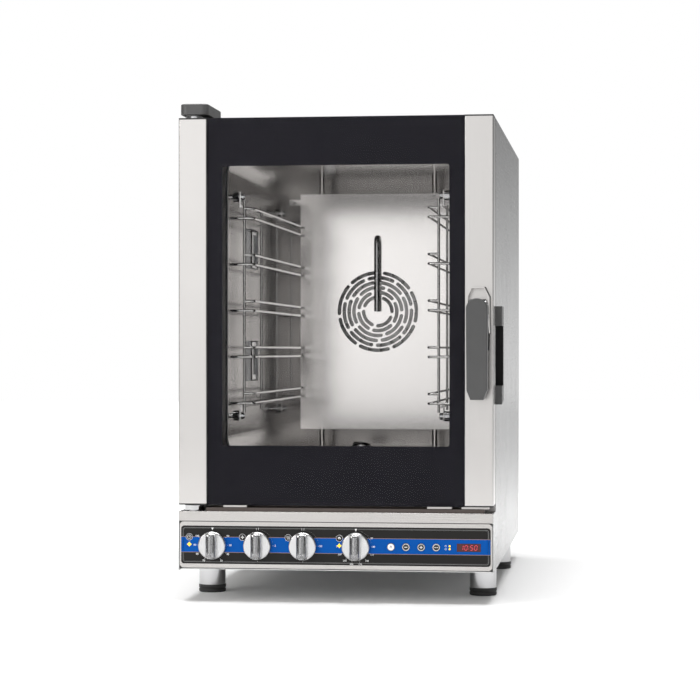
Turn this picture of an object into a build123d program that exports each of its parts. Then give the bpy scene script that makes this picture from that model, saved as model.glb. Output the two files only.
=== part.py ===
from build123d import *
import os
from math import cos, degrees, radians, sin

# Compact combi steamer oven, in millimetres.  +Z is up, the door faces -Y and the
# origin is on the floor, under the middle of the oven's outer box.

os.makedirs("parts", exist_ok=True)

# ---------------------------------------------------------------- driving sizes
body_width = 520.0  # outside of the side panels
body_depth = 862.0  # door face to back panel
body_height = 798.0  # floor to top panel
underside = 52.0  # floor to the bottom panel
handle_reach = 58.0  # lever in front of the door face
rear_reach = 25.0  # pipe stubs behind the back panel
keeper_proud = 10.0  # latch keeper outside the right side panel

sheet = 1.2  # outer panels and cavity walls
frame_sheet = 1.5  # front frame, door sheet and fascia
running_gap = 0.05  # radial, shaft in its hole
fit_gap = 0.3  # a piece seated in a cut-out
weld_gap = 0.02  # between wires that touch at one point

# Body zones
deck_z = 149.0  # top of the lower body, under the door
sill_height = 16.3
side_space = 70.4  # side panel to cavity wall
top_space = 51.0  # cavity roof to top panel
cavity_floor = 231.0
cavity_corner = 40.0
motor_space = 127.0  # cavity rear wall to the back panel
insulation_thickness = 22.0

# Door
door_thickness = 58.0
door_gap = 10.0  # door back to front frame
door_bottom = 159.3
profile_width = 47.2
profile_corner = 2.1
cap_thickness = 2.5
glass_gap = 0.2
outer_glass_thickness = 5.0
frit_thickness = 0.4
window_border = 24.8  # frit width beside the window
window_bottom_border = 98.2
window_top_border = 79.6
window_corner = 4.0
inner_glass_thickness = 4.0
inner_glass_lap = 6.0
rail_height = 36.0
seal_overlap = 2.4  # door liner covers the gasket by this much less

# Hinge
hinge_in = 21.5  # axis from the left side
pin_radius = 6.0
hinge_block_length = 24.0
pin_engagement = 16.0
bracket_width = 46.8
bracket_length = 131.0
bracket_thickness = 17.5
bracket_lift = 6.0
bracket_corner = 12.0
spacer_radius = 14.0
flange_radius = 16.5

# Handle and latch
handle_in = 23.5  # lever's middle from the right side
lever_width = 35.0
lever_height = 163.0
lever_thickness = 20.0
lever_top_over_pin = 10.0
lever_foot_width = 21.0
lever_foot_height = 15.0
lever_taper = 1.0  # each side, from the top to the foot
pin_over_middle = 9.4  # handle pin above the door's mid-height
pin_in_front = 20.0
handle_pin_radius = 3.0
hood_width = 36.3
hood_depth = 30.0
hood_sheet = 2.0
hood_rise = 28.5  # hood top above the pin
hood_drop = 46.0  # hood cheeks below the pin
hood_chamfer = 8.0
boss_radius = 9.0
boss_width = 27.0
tongue_thickness = 6.0
tongue_offset = 10.0  # from the lever's middle to the tongue's middle
tongue_height = 12.0
tongue_drop = 44.0  # tongue's middle under the pin
tongue_reach = 47.0  # tongue tip behind the back of the door
tongue_slot_width = 14.0
front_slot_drop = 29.0  # the tongue swings down through both slots
rear_slot_drop = 67.0
keeper_width = 30.0
keeper_depth = 52.0
keeper_height = 162.6
keeper_slot_height = 99.3
keeper_slot_depth = 39.0
keeper_slant = 6.0
keeper_wall = 3.0
keeper_over_tongue = 11.0  # slot's top above the tongue's middle
keeper_lip = 32.4  # plastic above the slot

# Control panel
fascia_bottom = 56.0
fascia_gap = 0.7
fascia_side = 2.0
fascia_corner = 6.0
fascia_flange = 14.0
overlay_side = 4.5
overlay_edge = 6.7
overlay_thickness = 0.8
overlay_corner = 5.0
knob_places = {"timer": 0.1096, "fan": 0.2538, "humidity": 0.3990, "temperature": 0.5673}
button_places = (0.6783, 0.7256, 0.7735, 0.8210)
lamp_places = ((0.0350, 1.2), (0.5150, 1.2), (0.8630, 2.4), (0.8630, -2.4))
display_place = 0.9231
controls_z = 93.4
knob_radius = 23.0
knob_base = 9.0
knob_reach = 20.0
knob_grip = 17.0
knob_gap = 0.5
shaft_radius = 3.0
shaft_in_switch = 16.0
bushing_radius = 4.6
switch_size = 36.0
switch_depth = 30.0
switch_behind = 5.0
button_radius = 6.2
button_gap = 0.4
button_proud = 1.0
button_stem = 8.0
button_lip = 1.3
button_lip_thickness = 1.5
button_travel = 1.0
display_width = 38.4
display_height = 12.7
display_window_thickness = 2.0
board_behind = 14.0
board_thickness = 1.6
board_height = 50.0
tact_radius = 3.0
indicator_radius = 1.6
indicator_length = 10.0

# Cavity fittings
baffle_from_rear = 95.0
baffle_side_gap = 39.6
baffle_end_gap = 32.0
baffle_flange = 12.0
slot_outer_radius = 74.4
slot_pitch = 9.4
slot_width = 7.0
slot_bridge = 5.0
slot_start = 33.0  # degrees from +X to the first bridge
ring_slots = (7, 7, 6, 5, 5, 4)
support_radius = 5.0
support_spread = 109.0
tab_width = 22.0
tab_height = 11.0
tab_below_top = 15.5
screw_hole = 2.2
fan_radius = 95.0
fan_depth = 40.0
fan_disc = 2.0
fan_blades = 20
fan_blade_length = 34.0
fan_behind_baffle = 26.0
fan_hub_radius = 20.0
fan_shaft_radius = 7.0
shaft_hole_radius = 10.5  # in the cavity's rear wall
fan_nut_radius = 11.0
fan_nut_height = 14.0
motor_radius = 56.0
motor_length = 88.0
motor_stand = 12.0
motor_fin = 3.0
motor_fins = 24
standoff_radius = 5.0
standoff_circle = 46.0
standoff_angles = (45, 135, 225, 315)
element_radii = (108.0, 118.0, 128.0)
element_wire = 4.2
element_first = 24.0  # first ring behind the baffle
element_pitch = 14.0
element_leg = 14.0
element_tail = 8.0
pipe_radius = 5.5
pipe_wall = 1.0
pipe_bend = 18.0
pipe_above_middle = 141.0
pipe_in_front = 15.0
strainer_radius = 18.0
strainer_height = 11.0
strainer_round = 9.4
strainer_hole = 2.0
strainer_hole_circle = 9.9
strainer_holes = 8
drain_off_middle = -25.0
drain_from_baffle = 60.0
drain_radius = 16.0
drain_wall = 1.5
drain_bend = 28.0
drain_drop = 56.0
exhaust_radius = 19.0
exhaust_off_middle = -110.0
exhaust_below_roof = 47.0
lock_nut_rim = 5.0  # lock nut around each pipe end, wider than the pipe by this
lock_nut_thickness = 5.0

# Racks
rack_levels = 5
wire_radius = 2.25
rod_from_wall = 25.6
rail_from_wall = 42.3
rack_front_gap = 8.5
rack_back_gap = 24.0
rack_posts = 4
level_drop = 94.4  # cavity roof to the highest wire
level_rise = 110.7  # cavity floor to the lowest upper wire
wire_pair = 16.0
wire_bend = 6.0
bar_over = 4.4
bar_gap = 0.6  # lowest wire to the bottom bar
post_over = 10.0
stud_from_bar = 16.3
stud_front = 22.0
stud_back = 90.0
stud_radius = 4.0
stud_length = 25.0
collar_radius = 8.5
collar_length = 11.0
hanger_width = 12.0
hanger_thickness = 2.0
nut_radius = 6.0
nut_height = 5.0

# Cavity lamps
lamp_size = 71.0
lamp_proud = 7.0
lens_size = 50.0
lens_thickness = 5.0
lamp_from_front = 236.0
lamp_heights = (105.0, -93.0)
lamp_housing = 30.0
lamp_box = 46.0
bulb_radius = 7.0
bulb_length = 18.0

# Rear and lower body
valve_size = 40.0
valve_height = 50.0
valve_depth = 70.0
valve_off_middle = 150.0
valve_z = 130.0
inlet_radius = 13.2
inlet_bore = 9.2
gland_off_middle = -160.0
gland_z = 95.0
gland_radius = 13.0
gland_bore = 7.0
gland_thread = 10.0
gland_dome_radius = 10.7
gland_reach = 22.0
louvre_width = 90.0
louvre_height = 5.0
louvre_pitch = 14.0
louvre_spread = 144.0  # between the two columns
louvre_count = 9
panel_screw_radius = 4.0
panel_screw_head = 2.2
panel_screw_shank = 2.0
panel_screw_length = 9.0
screw_from_edge = 14.0

# Feet
foot_radius = 22.6
pad_radius = 23.2
pad_height = 13.3
pad_chamfer = 1.6
foot_in = 27.0
foot_front = 160.0
foot_back = 235.0  # from the back panel
foot_stud_radius = 5.0
foot_stud_length = 14.0
foot_wall = 2.0

# Gasket, switch and tray between the door and the body
gasket_width = 10.0
gasket_lap = 1.0
switch_block = (22.0, 28.0)
switch_block_depth = 7.0
switch_block_in = 20.0
switch_block_z = 211.0
tray_side = 45.0
tray_front = 6.0
tray_depth = 52.0
tray_height = 6.0
clip_height = 3.0
clip_depth = 12.0
clip_places = ((0.1442, 0.2192), (0.7923, 0.8692), (0.9000, 0.9865))

# ---------------------------------------------------------------- worked-out places
x_left = -(body_width + keeper_proud) / 2
x_right = x_left + body_width
x_mid = (x_left + x_right) / 2
door_face = -(handle_reach + body_depth + rear_reach) / 2 + handle_reach
door_back = door_face + door_thickness
frame_y = door_back + door_gap
y_back = door_face + body_depth
y_rear = y_back + rear_reach
inside = (x_left + sheet, x_right - sheet)

cavity_front = frame_y + frame_sheet
cavity_rear = y_back - motor_space
cavity_roof = body_height - top_space
wall_left = x_left + side_space
wall_right = x_right - side_space
cavity_mid_z = (cavity_floor + cavity_roof) / 2
baffle_y = cavity_rear - baffle_from_rear
rear_wall_back = cavity_rear + frame_sheet
deck_under = deck_z - sheet
sill_bottom = deck_z - sill_height
fascia_top = sill_bottom - fascia_gap
door_middle = (door_bottom + body_height) / 2


def facing(y):
    """Plane at depth y seen from the front: local axes are X and Z, so back is negative."""
    return Plane.XZ.offset(-y)


def span(xs, ys, radius=0.0, mode=Mode.ADD):
    """Rectangle over two ranges, in the sketch being drawn."""
    with Locations((sum(xs) / 2, sum(ys) / 2)):
        if radius:
            RectangleRounded(xs[1] - xs[0], ys[1] - ys[0], radius, mode=mode)
        else:
            Rectangle(xs[1] - xs[0], ys[1] - ys[0], mode=mode)


def block(xs, ys, zs, mode=Mode.ADD):
    """Box over three ranges, in the part being built."""
    with Locations((sum(xs) / 2, sum(ys) / 2, sum(zs) / 2)):
        Box(xs[1] - xs[0], ys[1] - ys[0], zs[1] - zs[0], mode=mode)


def rod_y(x, z, ys, radius, mode=Mode.ADD):
    """Round bar along Y."""
    with Locations((x, sum(ys) / 2, z)):
        Cylinder(radius, ys[1] - ys[0], rotation=(90, 0, 0), mode=mode)


def rod_x(y, z, xs, radius, mode=Mode.ADD):
    """Round bar along X."""
    with Locations((sum(xs) / 2, y, z)):
        Cylinder(radius, xs[1] - xs[0], rotation=(0, 90, 0), mode=mode)


def rod_z(x, y, zs, radius, mode=Mode.ADD):
    """Round bar along Z."""
    with Locations((x, y, sum(zs) / 2)):
        Cylinder(radius, zs[1] - zs[0], mode=mode)


def around(middle, width):
    """Range of the given width around a middle."""
    return (middle - width / 2, middle + width / 2)


# ---------------------------------------------------------------- feet
foot_xs = (x_left + foot_in, x_right - foot_in)
foot_ys = (door_face + foot_front, y_back - foot_back)
foot_spots = [(x, y) for x in foot_xs for y in foot_ys]

with BuildPart() as foot_tubes:
    with BuildSketch(Plane.XY.offset(pad_height)):
        with Locations(*foot_spots):
            Circle(foot_radius)
    extrude(amount=underside - pad_height)
    with BuildSketch(Plane.XY.offset(pad_height)):
        with Locations(*foot_spots):
            Circle(foot_radius - foot_wall)
    extrude(amount=underside - pad_height - foot_wall, mode=Mode.SUBTRACT)
    with BuildSketch(Plane.XY.offset(underside)):
        with Locations(*foot_spots):
            Circle(foot_stud_radius)
    extrude(amount=foot_stud_length)
foot_tubes.part.label = "foot_tubes"
export_step(foot_tubes.part, "parts/foot_tubes.step")

with BuildPart() as foot_pads:
    with BuildSketch():
        with Locations(*foot_spots):
            Circle(pad_radius)
    extrude(amount=pad_height)
    chamfer(foot_pads.edges().group_by(Axis.Z)[0], length=pad_chamfer)
foot_pads.part.label = "foot_pads"
export_step(foot_pads.part, "parts/foot_pads.step")

# ---------------------------------------------------------------- outer panels
keeper_z1 = door_middle + pin_over_middle - tongue_drop + keeper_over_tongue + keeper_lip
keeper_z0 = keeper_z1 - keeper_height
keeper_y0 = frame_y + fit_gap
keeper_y1 = keeper_y0 + keeper_depth
panel_front = frame_y - frame_sheet

for side, panel_x in (("left", x_left), ("right", x_right - sheet)):
    with BuildPart() as side_panel:
        with BuildSketch(Plane.YZ.offset(panel_x)):
            with BuildLine():
                Polyline(
                    (door_face, underside),
                    (y_back, underside),
                    (y_back, body_height),
                    (panel_front, body_height),
                    (panel_front, deck_z),
                    (door_face, deck_z),
                    close=True,
                )
            make_face()
            if side == "right":
                span(
                    (panel_front, keeper_y1 + fit_gap),
                    (keeper_z0 - fit_gap, keeper_z1 + fit_gap),
                    mode=Mode.SUBTRACT,
                )
        extrude(amount=sheet)
    side_panel.part.label = f"{side}_side_panel"
    export_step(side_panel.part, f"parts/{side}_side_panel.step")

with BuildPart() as top_panel:
    block(inside, (panel_front, y_back), (body_height - sheet, body_height))
top_panel.part.label = "top_panel"
export_step(top_panel.part, "parts/top_panel.step")

with BuildPart() as bottom_panel:
    bottom_zs = (underside, underside + sheet)
    block(inside, (door_face + frame_sheet + fascia_flange, y_back - sheet), bottom_zs)
    for foot_x, foot_y in foot_spots:
        rod_z(foot_x, foot_y, bottom_zs, foot_stud_radius + fit_gap, Mode.SUBTRACT)
bottom_panel.part.label = "bottom_panel"
export_step(bottom_panel.part, "parts/bottom_panel.step")

valve_x = x_mid + valve_off_middle
gland_x = x_mid + gland_off_middle
exhaust_x = x_mid + exhaust_off_middle
exhaust_z = cavity_roof - exhaust_below_roof
drain_x = x_mid + drain_off_middle
drain_y = baffle_y - drain_from_baffle
drain_z = cavity_floor - drain_drop
screw_xs = (inside[0] + screw_from_edge, x_mid, inside[1] - screw_from_edge)
screw_zs = (underside + screw_from_edge, cavity_mid_z, body_height - screw_from_edge)
screw_spots = [(x, z) for x in screw_xs for z in screw_zs if (x, z) != (x_mid, cavity_mid_z)]

with BuildPart() as back_panel:
    with BuildSketch(facing(y_back - sheet)):
        span(inside, (underside, body_height - sheet))
        with Locations(*screw_spots):
            Circle(panel_screw_shank + fit_gap, mode=Mode.SUBTRACT)
        with Locations((exhaust_x, exhaust_z)):
            Circle(exhaust_radius + fit_gap, mode=Mode.SUBTRACT)
        with Locations((drain_x, drain_z)):
            Circle(drain_radius + fit_gap, mode=Mode.SUBTRACT)
        with Locations((valve_x, valve_z)):
            Circle(inlet_radius + fit_gap, mode=Mode.SUBTRACT)
        with Locations((gland_x, gland_z)):
            Circle(gland_thread + fit_gap, mode=Mode.SUBTRACT)
        with Locations((x_mid, cavity_mid_z)):
            with GridLocations(louvre_spread, louvre_pitch, 2, louvre_count):
                SlotOverall(louvre_width, louvre_height, mode=Mode.SUBTRACT)
    extrude(amount=-sheet)
back_panel.part.label = "back_panel"
export_step(back_panel.part, "parts/back_panel.step")

with BuildPart() as back_screws:
    for screw_x, screw_z in screw_spots:
        rod_y(screw_x, screw_z, (y_back, y_back + panel_screw_head), panel_screw_radius)
    chamfer(back_screws.edges().group_by(Axis.Y)[-1], length=panel_screw_head / 3)
    for screw_x, screw_z in screw_spots:
        rod_y(screw_x, screw_z, (y_back - panel_screw_length, y_back), panel_screw_shank)
back_screws.part.label = "back_screws"
export_step(back_screws.part, "parts/back_screws.step")

# ---------------------------------------------------------------- front frame and lower front
with BuildPart() as front_frame:
    with BuildSketch(facing(frame_y)):
        span(inside, (deck_under, body_height - sheet))
        span((wall_left, wall_right), (cavity_floor, cavity_roof), cavity_corner, Mode.SUBTRACT)
        span(
            (x_right + keeper_proud - keeper_width - fit_gap, inside[1]),
            (keeper_z0 - fit_gap, keeper_z1 + fit_gap),
            mode=Mode.SUBTRACT,
        )
    extrude(amount=-frame_sheet)
front_frame.part.label = "front_frame"
export_step(front_frame.part, "parts/front_frame.step")

with BuildPart() as front_sill:
    block(inside, (door_face, frame_y), (deck_under, deck_z))
    block(inside, (door_face, door_face + sheet), (sill_bottom, deck_under))
    front_edge = front_sill.edges().filter_by(Axis.X).group_by(Axis.Z)[-1].sort_by(Axis.Y)[0]
    fillet(front_edge, radius=sheet - fit_gap)
front_sill.part.label = "front_sill"
export_step(front_sill.part, "parts/front_sill.step")

knob_xs = {name: x_left + place * body_width for name, place in knob_places.items()}
button_xs = [x_left + place * body_width for place in button_places]
display_x = x_left + display_place * body_width
indicator_spots = [(x_left + place * body_width, controls_z + up) for place, up in lamp_places]
fascia_xs = (x_left + fascia_side, x_right - fascia_side)
overlay_xs = (x_left + overlay_side, x_right - overlay_side)
overlay_zs = (fascia_bottom + overlay_edge, fascia_top - overlay_edge)


def control_holes():
    """Cut every opening of the control panel in the sketch being drawn."""
    with Locations(*[(x, controls_z) for x in knob_xs.values()]):
        Circle(bushing_radius + fit_gap, mode=Mode.SUBTRACT)
    with Locations(*[(x, controls_z) for x in button_xs]):
        Circle(button_radius + button_gap, mode=Mode.SUBTRACT)
    with Locations(*indicator_spots):
        Circle(indicator_radius, mode=Mode.SUBTRACT)
    span(
        around(display_x, display_width),
        around(controls_z, display_height),
        mode=Mode.SUBTRACT,
    )


with BuildPart() as control_fascia:
    with BuildSketch(facing(door_face)):
        span(fascia_xs, (fascia_bottom, fascia_top), fascia_corner)
        control_holes()
    extrude(amount=-frame_sheet)
    flange_xs = (fascia_xs[0] + fascia_corner, fascia_xs[1] - fascia_corner)
    flange_ys = (door_face + frame_sheet, door_face + frame_sheet + fascia_flange)
    block(flange_xs, flange_ys, (fascia_bottom, fascia_bottom + frame_sheet))
    block(flange_xs, flange_ys, (fascia_top - frame_sheet, fascia_top))
control_fascia.part.label = "control_fascia"
export_step(control_fascia.part, "parts/control_fascia.step")

with BuildPart() as control_overlay:
    with BuildSketch(facing(door_face - overlay_thickness)):
        span(overlay_xs, overlay_zs, overlay_corner)
        control_holes()
    extrude(amount=-overlay_thickness)
control_overlay.part.label = "control_overlay"
export_step(control_overlay.part, "parts/control_overlay.step")

# ---------------------------------------------------------------- knobs, shafts and switches
knob_back = door_face - overlay_thickness - knob_gap
switch_front = door_face + frame_sheet + switch_behind
for name, knob_x in knob_xs.items():
    with BuildPart() as knob:
        with BuildSketch(facing(knob_back)):
            with Locations((knob_x, controls_z)):
                Circle(knob_radius)
        extrude(amount=knob_base)
        fillet(knob.edges().group_by(Axis.Y)[0], radius=knob_base / 3)
        with BuildSketch(facing(knob_back - knob_base / 2)):
            with Locations((knob_x, controls_z)):
                Circle(knob_radius - knob_base / 6)
                Rectangle(knob_grip, knob_radius * 2, mode=Mode.INTERSECT)
        extrude(amount=knob_reach - knob_base / 2)
        fillet(knob.edges().group_by(Axis.Y)[0], radius=knob_base / 4)
        rod_y(knob_x, controls_z, (knob_back, switch_front + shaft_in_switch), shaft_radius)
    knob.part.label = f"{name}_knob"
    export_step(knob.part, f"parts/{name}_knob.step")

with BuildPart() as switch_units:
    for knob_x in knob_xs.values():
        block(
            around(knob_x, switch_size),
            (switch_front, switch_front + switch_depth),
            around(controls_z, switch_size),
        )
    chamfer(switch_units.edges().filter_by(Axis.Y), length=switch_size / 12)
    for knob_x in knob_xs.values():
        rod_y(knob_x, controls_z, (door_face, switch_front), bushing_radius)
        hole_ys = (door_face, switch_front + shaft_in_switch + fit_gap)
        rod_y(knob_x, controls_z, hole_ys, shaft_radius + running_gap, Mode.SUBTRACT)
switch_units.part.label = "switch_units"
export_step(switch_units.part, "parts/switch_units.step")

# ---------------------------------------------------------------- buttons, display and board
button_front = door_face - overlay_thickness - button_proud
lip_front = door_face + frame_sheet + fit_gap
button_back = door_face + button_stem
board_front = door_face + board_behind
for number, button_x in enumerate(button_xs, start=1):
    with BuildPart() as button:
        rod_y(button_x, controls_z, (button_front, button_back), button_radius)
        fillet(button.edges().group_by(Axis.Y)[0], radius=button_proud / 2)
        lip_ys = (lip_front, lip_front + button_lip_thickness)
        rod_y(button_x, controls_z, lip_ys, button_radius + button_lip)
    button.part.label = f"button_{number}"
    export_step(button.part, f"parts/button_{number}.step")

with BuildPart() as display_window:
    window_front = door_face - overlay_thickness
    window_back = window_front + display_window_thickness
    block(
        around(display_x, display_width),
        (window_front, window_back),
        around(controls_z, display_height),
    )
display_window.part.label = "display_window"
export_step(display_window.part, "parts/display_window.step")

with BuildPart() as control_board:
    board_xs = (button_xs[0] - button_radius * 2, display_x + display_width / 2)
    block(board_xs, (board_front, board_front + board_thickness), around(controls_z, board_height))
    for button_x in button_xs:
        tact_ys = (button_back + button_travel + fit_gap, board_front)
        rod_y(button_x, controls_z, tact_ys, tact_radius)
    block(
        around(display_x, display_width - fit_gap * 2),
        (window_back, board_front),
        around(controls_z, display_height - fit_gap * 2),
    )
control_board.part.label = "control_board"
export_step(control_board.part, "parts/control_board.step")

with BuildPart() as indicator_lamps:
    for lamp_x, lamp_z in indicator_spots:
        lamp_ys = (door_face - overlay_thickness, door_face - overlay_thickness + indicator_length)
        rod_y(lamp_x, lamp_z, lamp_ys, indicator_radius)
indicator_lamps.part.label = "indicator_lamps"
export_step(indicator_lamps.part, "parts/indicator_lamps.step")

# ---------------------------------------------------------------- cavity
lamp_y = cavity_front + lamp_from_front
lamp_zs = [cavity_mid_z + up for up in lamp_heights]
pipe_z = cavity_mid_z + pipe_above_middle
pipe_y = baffle_y - pipe_in_front
leg_spots = [
    (x_mid + way * element_leg * (index + 1), cavity_mid_z - radius)
    for index, radius in enumerate(element_radii)
    for way in (-1, 1)
]

with BuildPart() as cavity_liner:
    with BuildSketch(facing(cavity_front)):
        span(
            (wall_left - sheet, wall_right + sheet),
            (cavity_floor - sheet, cavity_roof + sheet),
            cavity_corner + sheet,
        )
    extrude(amount=-(rear_wall_back - cavity_front))
    with BuildSketch(facing(cavity_front)):
        span((wall_left, wall_right), (cavity_floor, cavity_roof), cavity_corner)
    extrude(amount=-(cavity_rear - cavity_front), mode=Mode.SUBTRACT)
    drain_hole_zs = (cavity_floor - sheet * 2, cavity_floor + sheet)
    rod_z(drain_x, drain_y, drain_hole_zs, drain_radius - drain_wall, Mode.SUBTRACT)
    for lamp_z in lamp_zs:
        block(
            (wall_left - sheet * 2, wall_left + sheet),
            around(lamp_y, lamp_box),
            around(lamp_z, lamp_box),
            mode=Mode.SUBTRACT,
        )
    rear_ys = (cavity_rear, rear_wall_back)
    rod_y(x_mid, cavity_mid_z, rear_ys, shaft_hole_radius, Mode.SUBTRACT)
    rod_y(x_mid, pipe_z, rear_ys, pipe_radius, Mode.SUBTRACT)
    rod_y(exhaust_x, exhaust_z, rear_ys, exhaust_radius - sheet, Mode.SUBTRACT)
    for leg_x, leg_z in leg_spots:
        rod_y(leg_x, leg_z, rear_ys, element_wire + running_gap, Mode.SUBTRACT)
cavity_liner.part.label = "cavity_liner"
export_step(cavity_liner.part, "parts/cavity_liner.step")

wool = sheet + insulation_thickness
with BuildPart() as insulation:
    with BuildSketch(facing(cavity_front)):
        span(
            (wall_left - wool, wall_right + wool),
            (cavity_floor - wool, cavity_roof + wool),
            cavity_corner,
        )
        span(
            (wall_left - sheet, wall_right + sheet),
            (cavity_floor - sheet, cavity_roof + sheet),
            cavity_corner + sheet,
            Mode.SUBTRACT,
        )
    extrude(amount=-(cavity_rear - cavity_front))
    wool_hole_zs = (cavity_floor - wool * 2, cavity_floor)
    rod_z(drain_x, drain_y, wool_hole_zs, drain_radius + fit_gap, Mode.SUBTRACT)
    for lamp_z in lamp_zs:
        block(
            (wall_left - wool * 2, wall_left),
            around(lamp_y, lamp_box + fit_gap * 2),
            around(lamp_z, lamp_box + fit_gap * 2),
            mode=Mode.SUBTRACT,
        )
insulation.part.label = "insulation"
export_step(insulation.part, "parts/insulation.step")

# ---------------------------------------------------------------- baffle, fan and heater
baffle_xs = (wall_left + baffle_side_gap, wall_right - baffle_side_gap)
baffle_zs = (cavity_floor + baffle_end_gap, cavity_roof - baffle_end_gap)
with BuildPart() as baffle:
    with BuildSketch(facing(baffle_y)):
        span(baffle_xs, baffle_zs)
        with Locations((x_mid, pipe_z)):
            Circle(pipe_radius + fit_gap, mode=Mode.SUBTRACT)
        for ring, slots in enumerate(ring_slots):
            radius = slot_outer_radius - ring * slot_pitch
            step = 360 / slots
            bridge = degrees((slot_bridge + slot_width) / radius)
            for slot in range(slots):
                start = slot_start + ring * step / 2 + slot * step + bridge / 2
                arc = Edge.make_circle(radius, start_angle=start, end_angle=start + step - bridge)
                with Locations((x_mid, cavity_mid_z)):
                    SlotArc(arc, slot_width, mode=Mode.SUBTRACT)
    extrude(amount=-frame_sheet)
    flange_y = (baffle_y + frame_sheet, baffle_y + baffle_flange)
    for flange_z in (baffle_zs[0], baffle_zs[1] - frame_sheet):
        block(baffle_xs, flange_y, (flange_z, flange_z + frame_sheet))
    for flange_x in (baffle_xs[0], baffle_xs[1] - frame_sheet):
        block((flange_x, flange_x + frame_sheet), flange_y, baffle_zs)
    tab_z = baffle_zs[1] - tab_below_top
    for tab_x in (baffle_xs[0] - tab_width, baffle_xs[1]):
        tab_y = (baffle_y, baffle_y + frame_sheet)
        block((tab_x, tab_x + tab_width), tab_y, around(tab_z, tab_height))
        rod_y(tab_x + tab_width / 2, tab_z, tab_y, screw_hole, Mode.SUBTRACT)
    support_y = baffle_y + baffle_flange / 2
    for support_x in around(x_mid, support_spread * 2):
        rod_z(support_x, support_y, (cavity_floor, baffle_zs[0]), support_radius)
        rod_z(support_x, support_y, (baffle_zs[1], cavity_roof), support_radius)
baffle.part.label = "baffle"
export_step(baffle.part, "parts/baffle.step")

fan_front = baffle_y + fan_behind_baffle
fan_back = fan_front + fan_depth
with BuildPart() as fan_wheel:
    rod_y(x_mid, cavity_mid_z, (fan_back - fan_disc, fan_back), fan_radius)
    rod_y(x_mid, cavity_mid_z, (fan_front + fan_nut_height, fan_back), fan_hub_radius)
    with BuildSketch(facing(fan_front)):
        with Locations((x_mid, cavity_mid_z)):
            with PolarLocations(fan_radius - fan_blade_length / 2 - fan_disc, fan_blades):
                Rectangle(fan_blade_length, fan_disc)
    extrude(amount=-fan_depth)
    with BuildSketch(facing(fan_front)):
        with Locations((x_mid, cavity_mid_z)):
            Circle(fan_radius)
            Circle(fan_radius - fan_disc * 2, mode=Mode.SUBTRACT)
    extrude(amount=-fan_disc * 2)
    rod_y(x_mid, cavity_mid_z, (fan_front, fan_back), fan_shaft_radius, Mode.SUBTRACT)
fan_wheel.part.label = "fan_wheel"
export_step(fan_wheel.part, "parts/fan_wheel.step")

motor_front = rear_wall_back + motor_stand
motor_back = motor_front + motor_length
shaft_end = motor_front + motor_length / 2
with BuildPart() as fan_shaft:
    with BuildSketch(facing(fan_front - fan_shaft_radius)):
        with Locations((x_mid, cavity_mid_z)):
            RegularPolygon(fan_nut_radius, 6)
    extrude(amount=-(fan_nut_height + fan_shaft_radius))
    chamfer(fan_shaft.edges().group_by(Axis.Y)[0], length=fan_shaft_radius / 4)
    rod_y(x_mid, cavity_mid_z, (fan_front, shaft_end), fan_shaft_radius)
fan_shaft.part.label = "fan_shaft"
export_step(fan_shaft.part, "parts/fan_shaft.step")

with BuildPart() as fan_motor:
    rod_y(x_mid, cavity_mid_z, (motor_front, motor_back), motor_radius)
    with BuildSketch(facing(motor_front + motor_stand)):
        with Locations((x_mid, cavity_mid_z)):
            with PolarLocations(motor_radius + motor_fin / 2, motor_fins):
                Rectangle(motor_fin * 2, motor_fin)
    extrude(amount=-(motor_length - motor_stand * 2))
    bore_ys = (motor_front, shaft_end + fit_gap)
    rod_y(x_mid, cavity_mid_z, bore_ys, fan_shaft_radius + running_gap, Mode.SUBTRACT)
    for angle in standoff_angles:
        standoff_x = x_mid + standoff_circle * cos(radians(angle))
        standoff_z = cavity_mid_z + standoff_circle * sin(radians(angle))
        rod_y(standoff_x, standoff_z, (rear_wall_back, motor_front), standoff_radius)
fan_motor.part.label = "fan_motor"
export_step(fan_motor.part, "parts/fan_motor.step")

with BuildPart() as heating_element:
    for index, radius in enumerate(element_radii):
        ring_y = baffle_y + element_first + index * element_pitch
        with Locations((x_mid, ring_y, cavity_mid_z)):
            Torus(radius, element_wire, rotation=(90, 0, 0))
        leg_z = cavity_mid_z - radius
        for way in (-1, 1):
            leg_x = x_mid + way * element_leg * (index + 1)
            rod_y(leg_x, leg_z, (ring_y, rear_wall_back + element_tail), element_wire)
heating_element.part.label = "heating_element"
export_step(heating_element.part, "parts/heating_element.step")

# ---------------------------------------------------------------- steam, drain and exhaust
with BuildPart() as steam_pipe:
    with BuildLine() as pipe_path:
        FilletPolyline(
            (x_mid, pipe_y, cavity_mid_z),
            (x_mid, pipe_y, pipe_z),
            (x_mid, rear_wall_back + element_tail, pipe_z),
            radius=pipe_bend - pipe_in_front / 2,
        )
    with BuildSketch(Plane((x_mid, pipe_y, cavity_mid_z))):
        Circle(pipe_radius)
        Circle(pipe_radius - pipe_wall, mode=Mode.SUBTRACT)
    sweep(path=pipe_path.wire())
steam_pipe.part.label = "steam_pipe"
export_step(steam_pipe.part, "parts/steam_pipe.step")

with BuildPart() as drain_strainer:
    rod_z(drain_x, drain_y, (cavity_floor, cavity_floor + strainer_height), strainer_radius)
    fillet(drain_strainer.edges().group_by(Axis.Z)[-1], radius=strainer_round)
    with Locations((drain_x, drain_y, cavity_floor)):
        with PolarLocations(strainer_hole_circle, strainer_holes):
            Cylinder(strainer_hole, strainer_height * 3, mode=Mode.SUBTRACT)
drain_strainer.part.label = "drain_strainer"
export_step(drain_strainer.part, "parts/drain_strainer.step")

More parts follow.
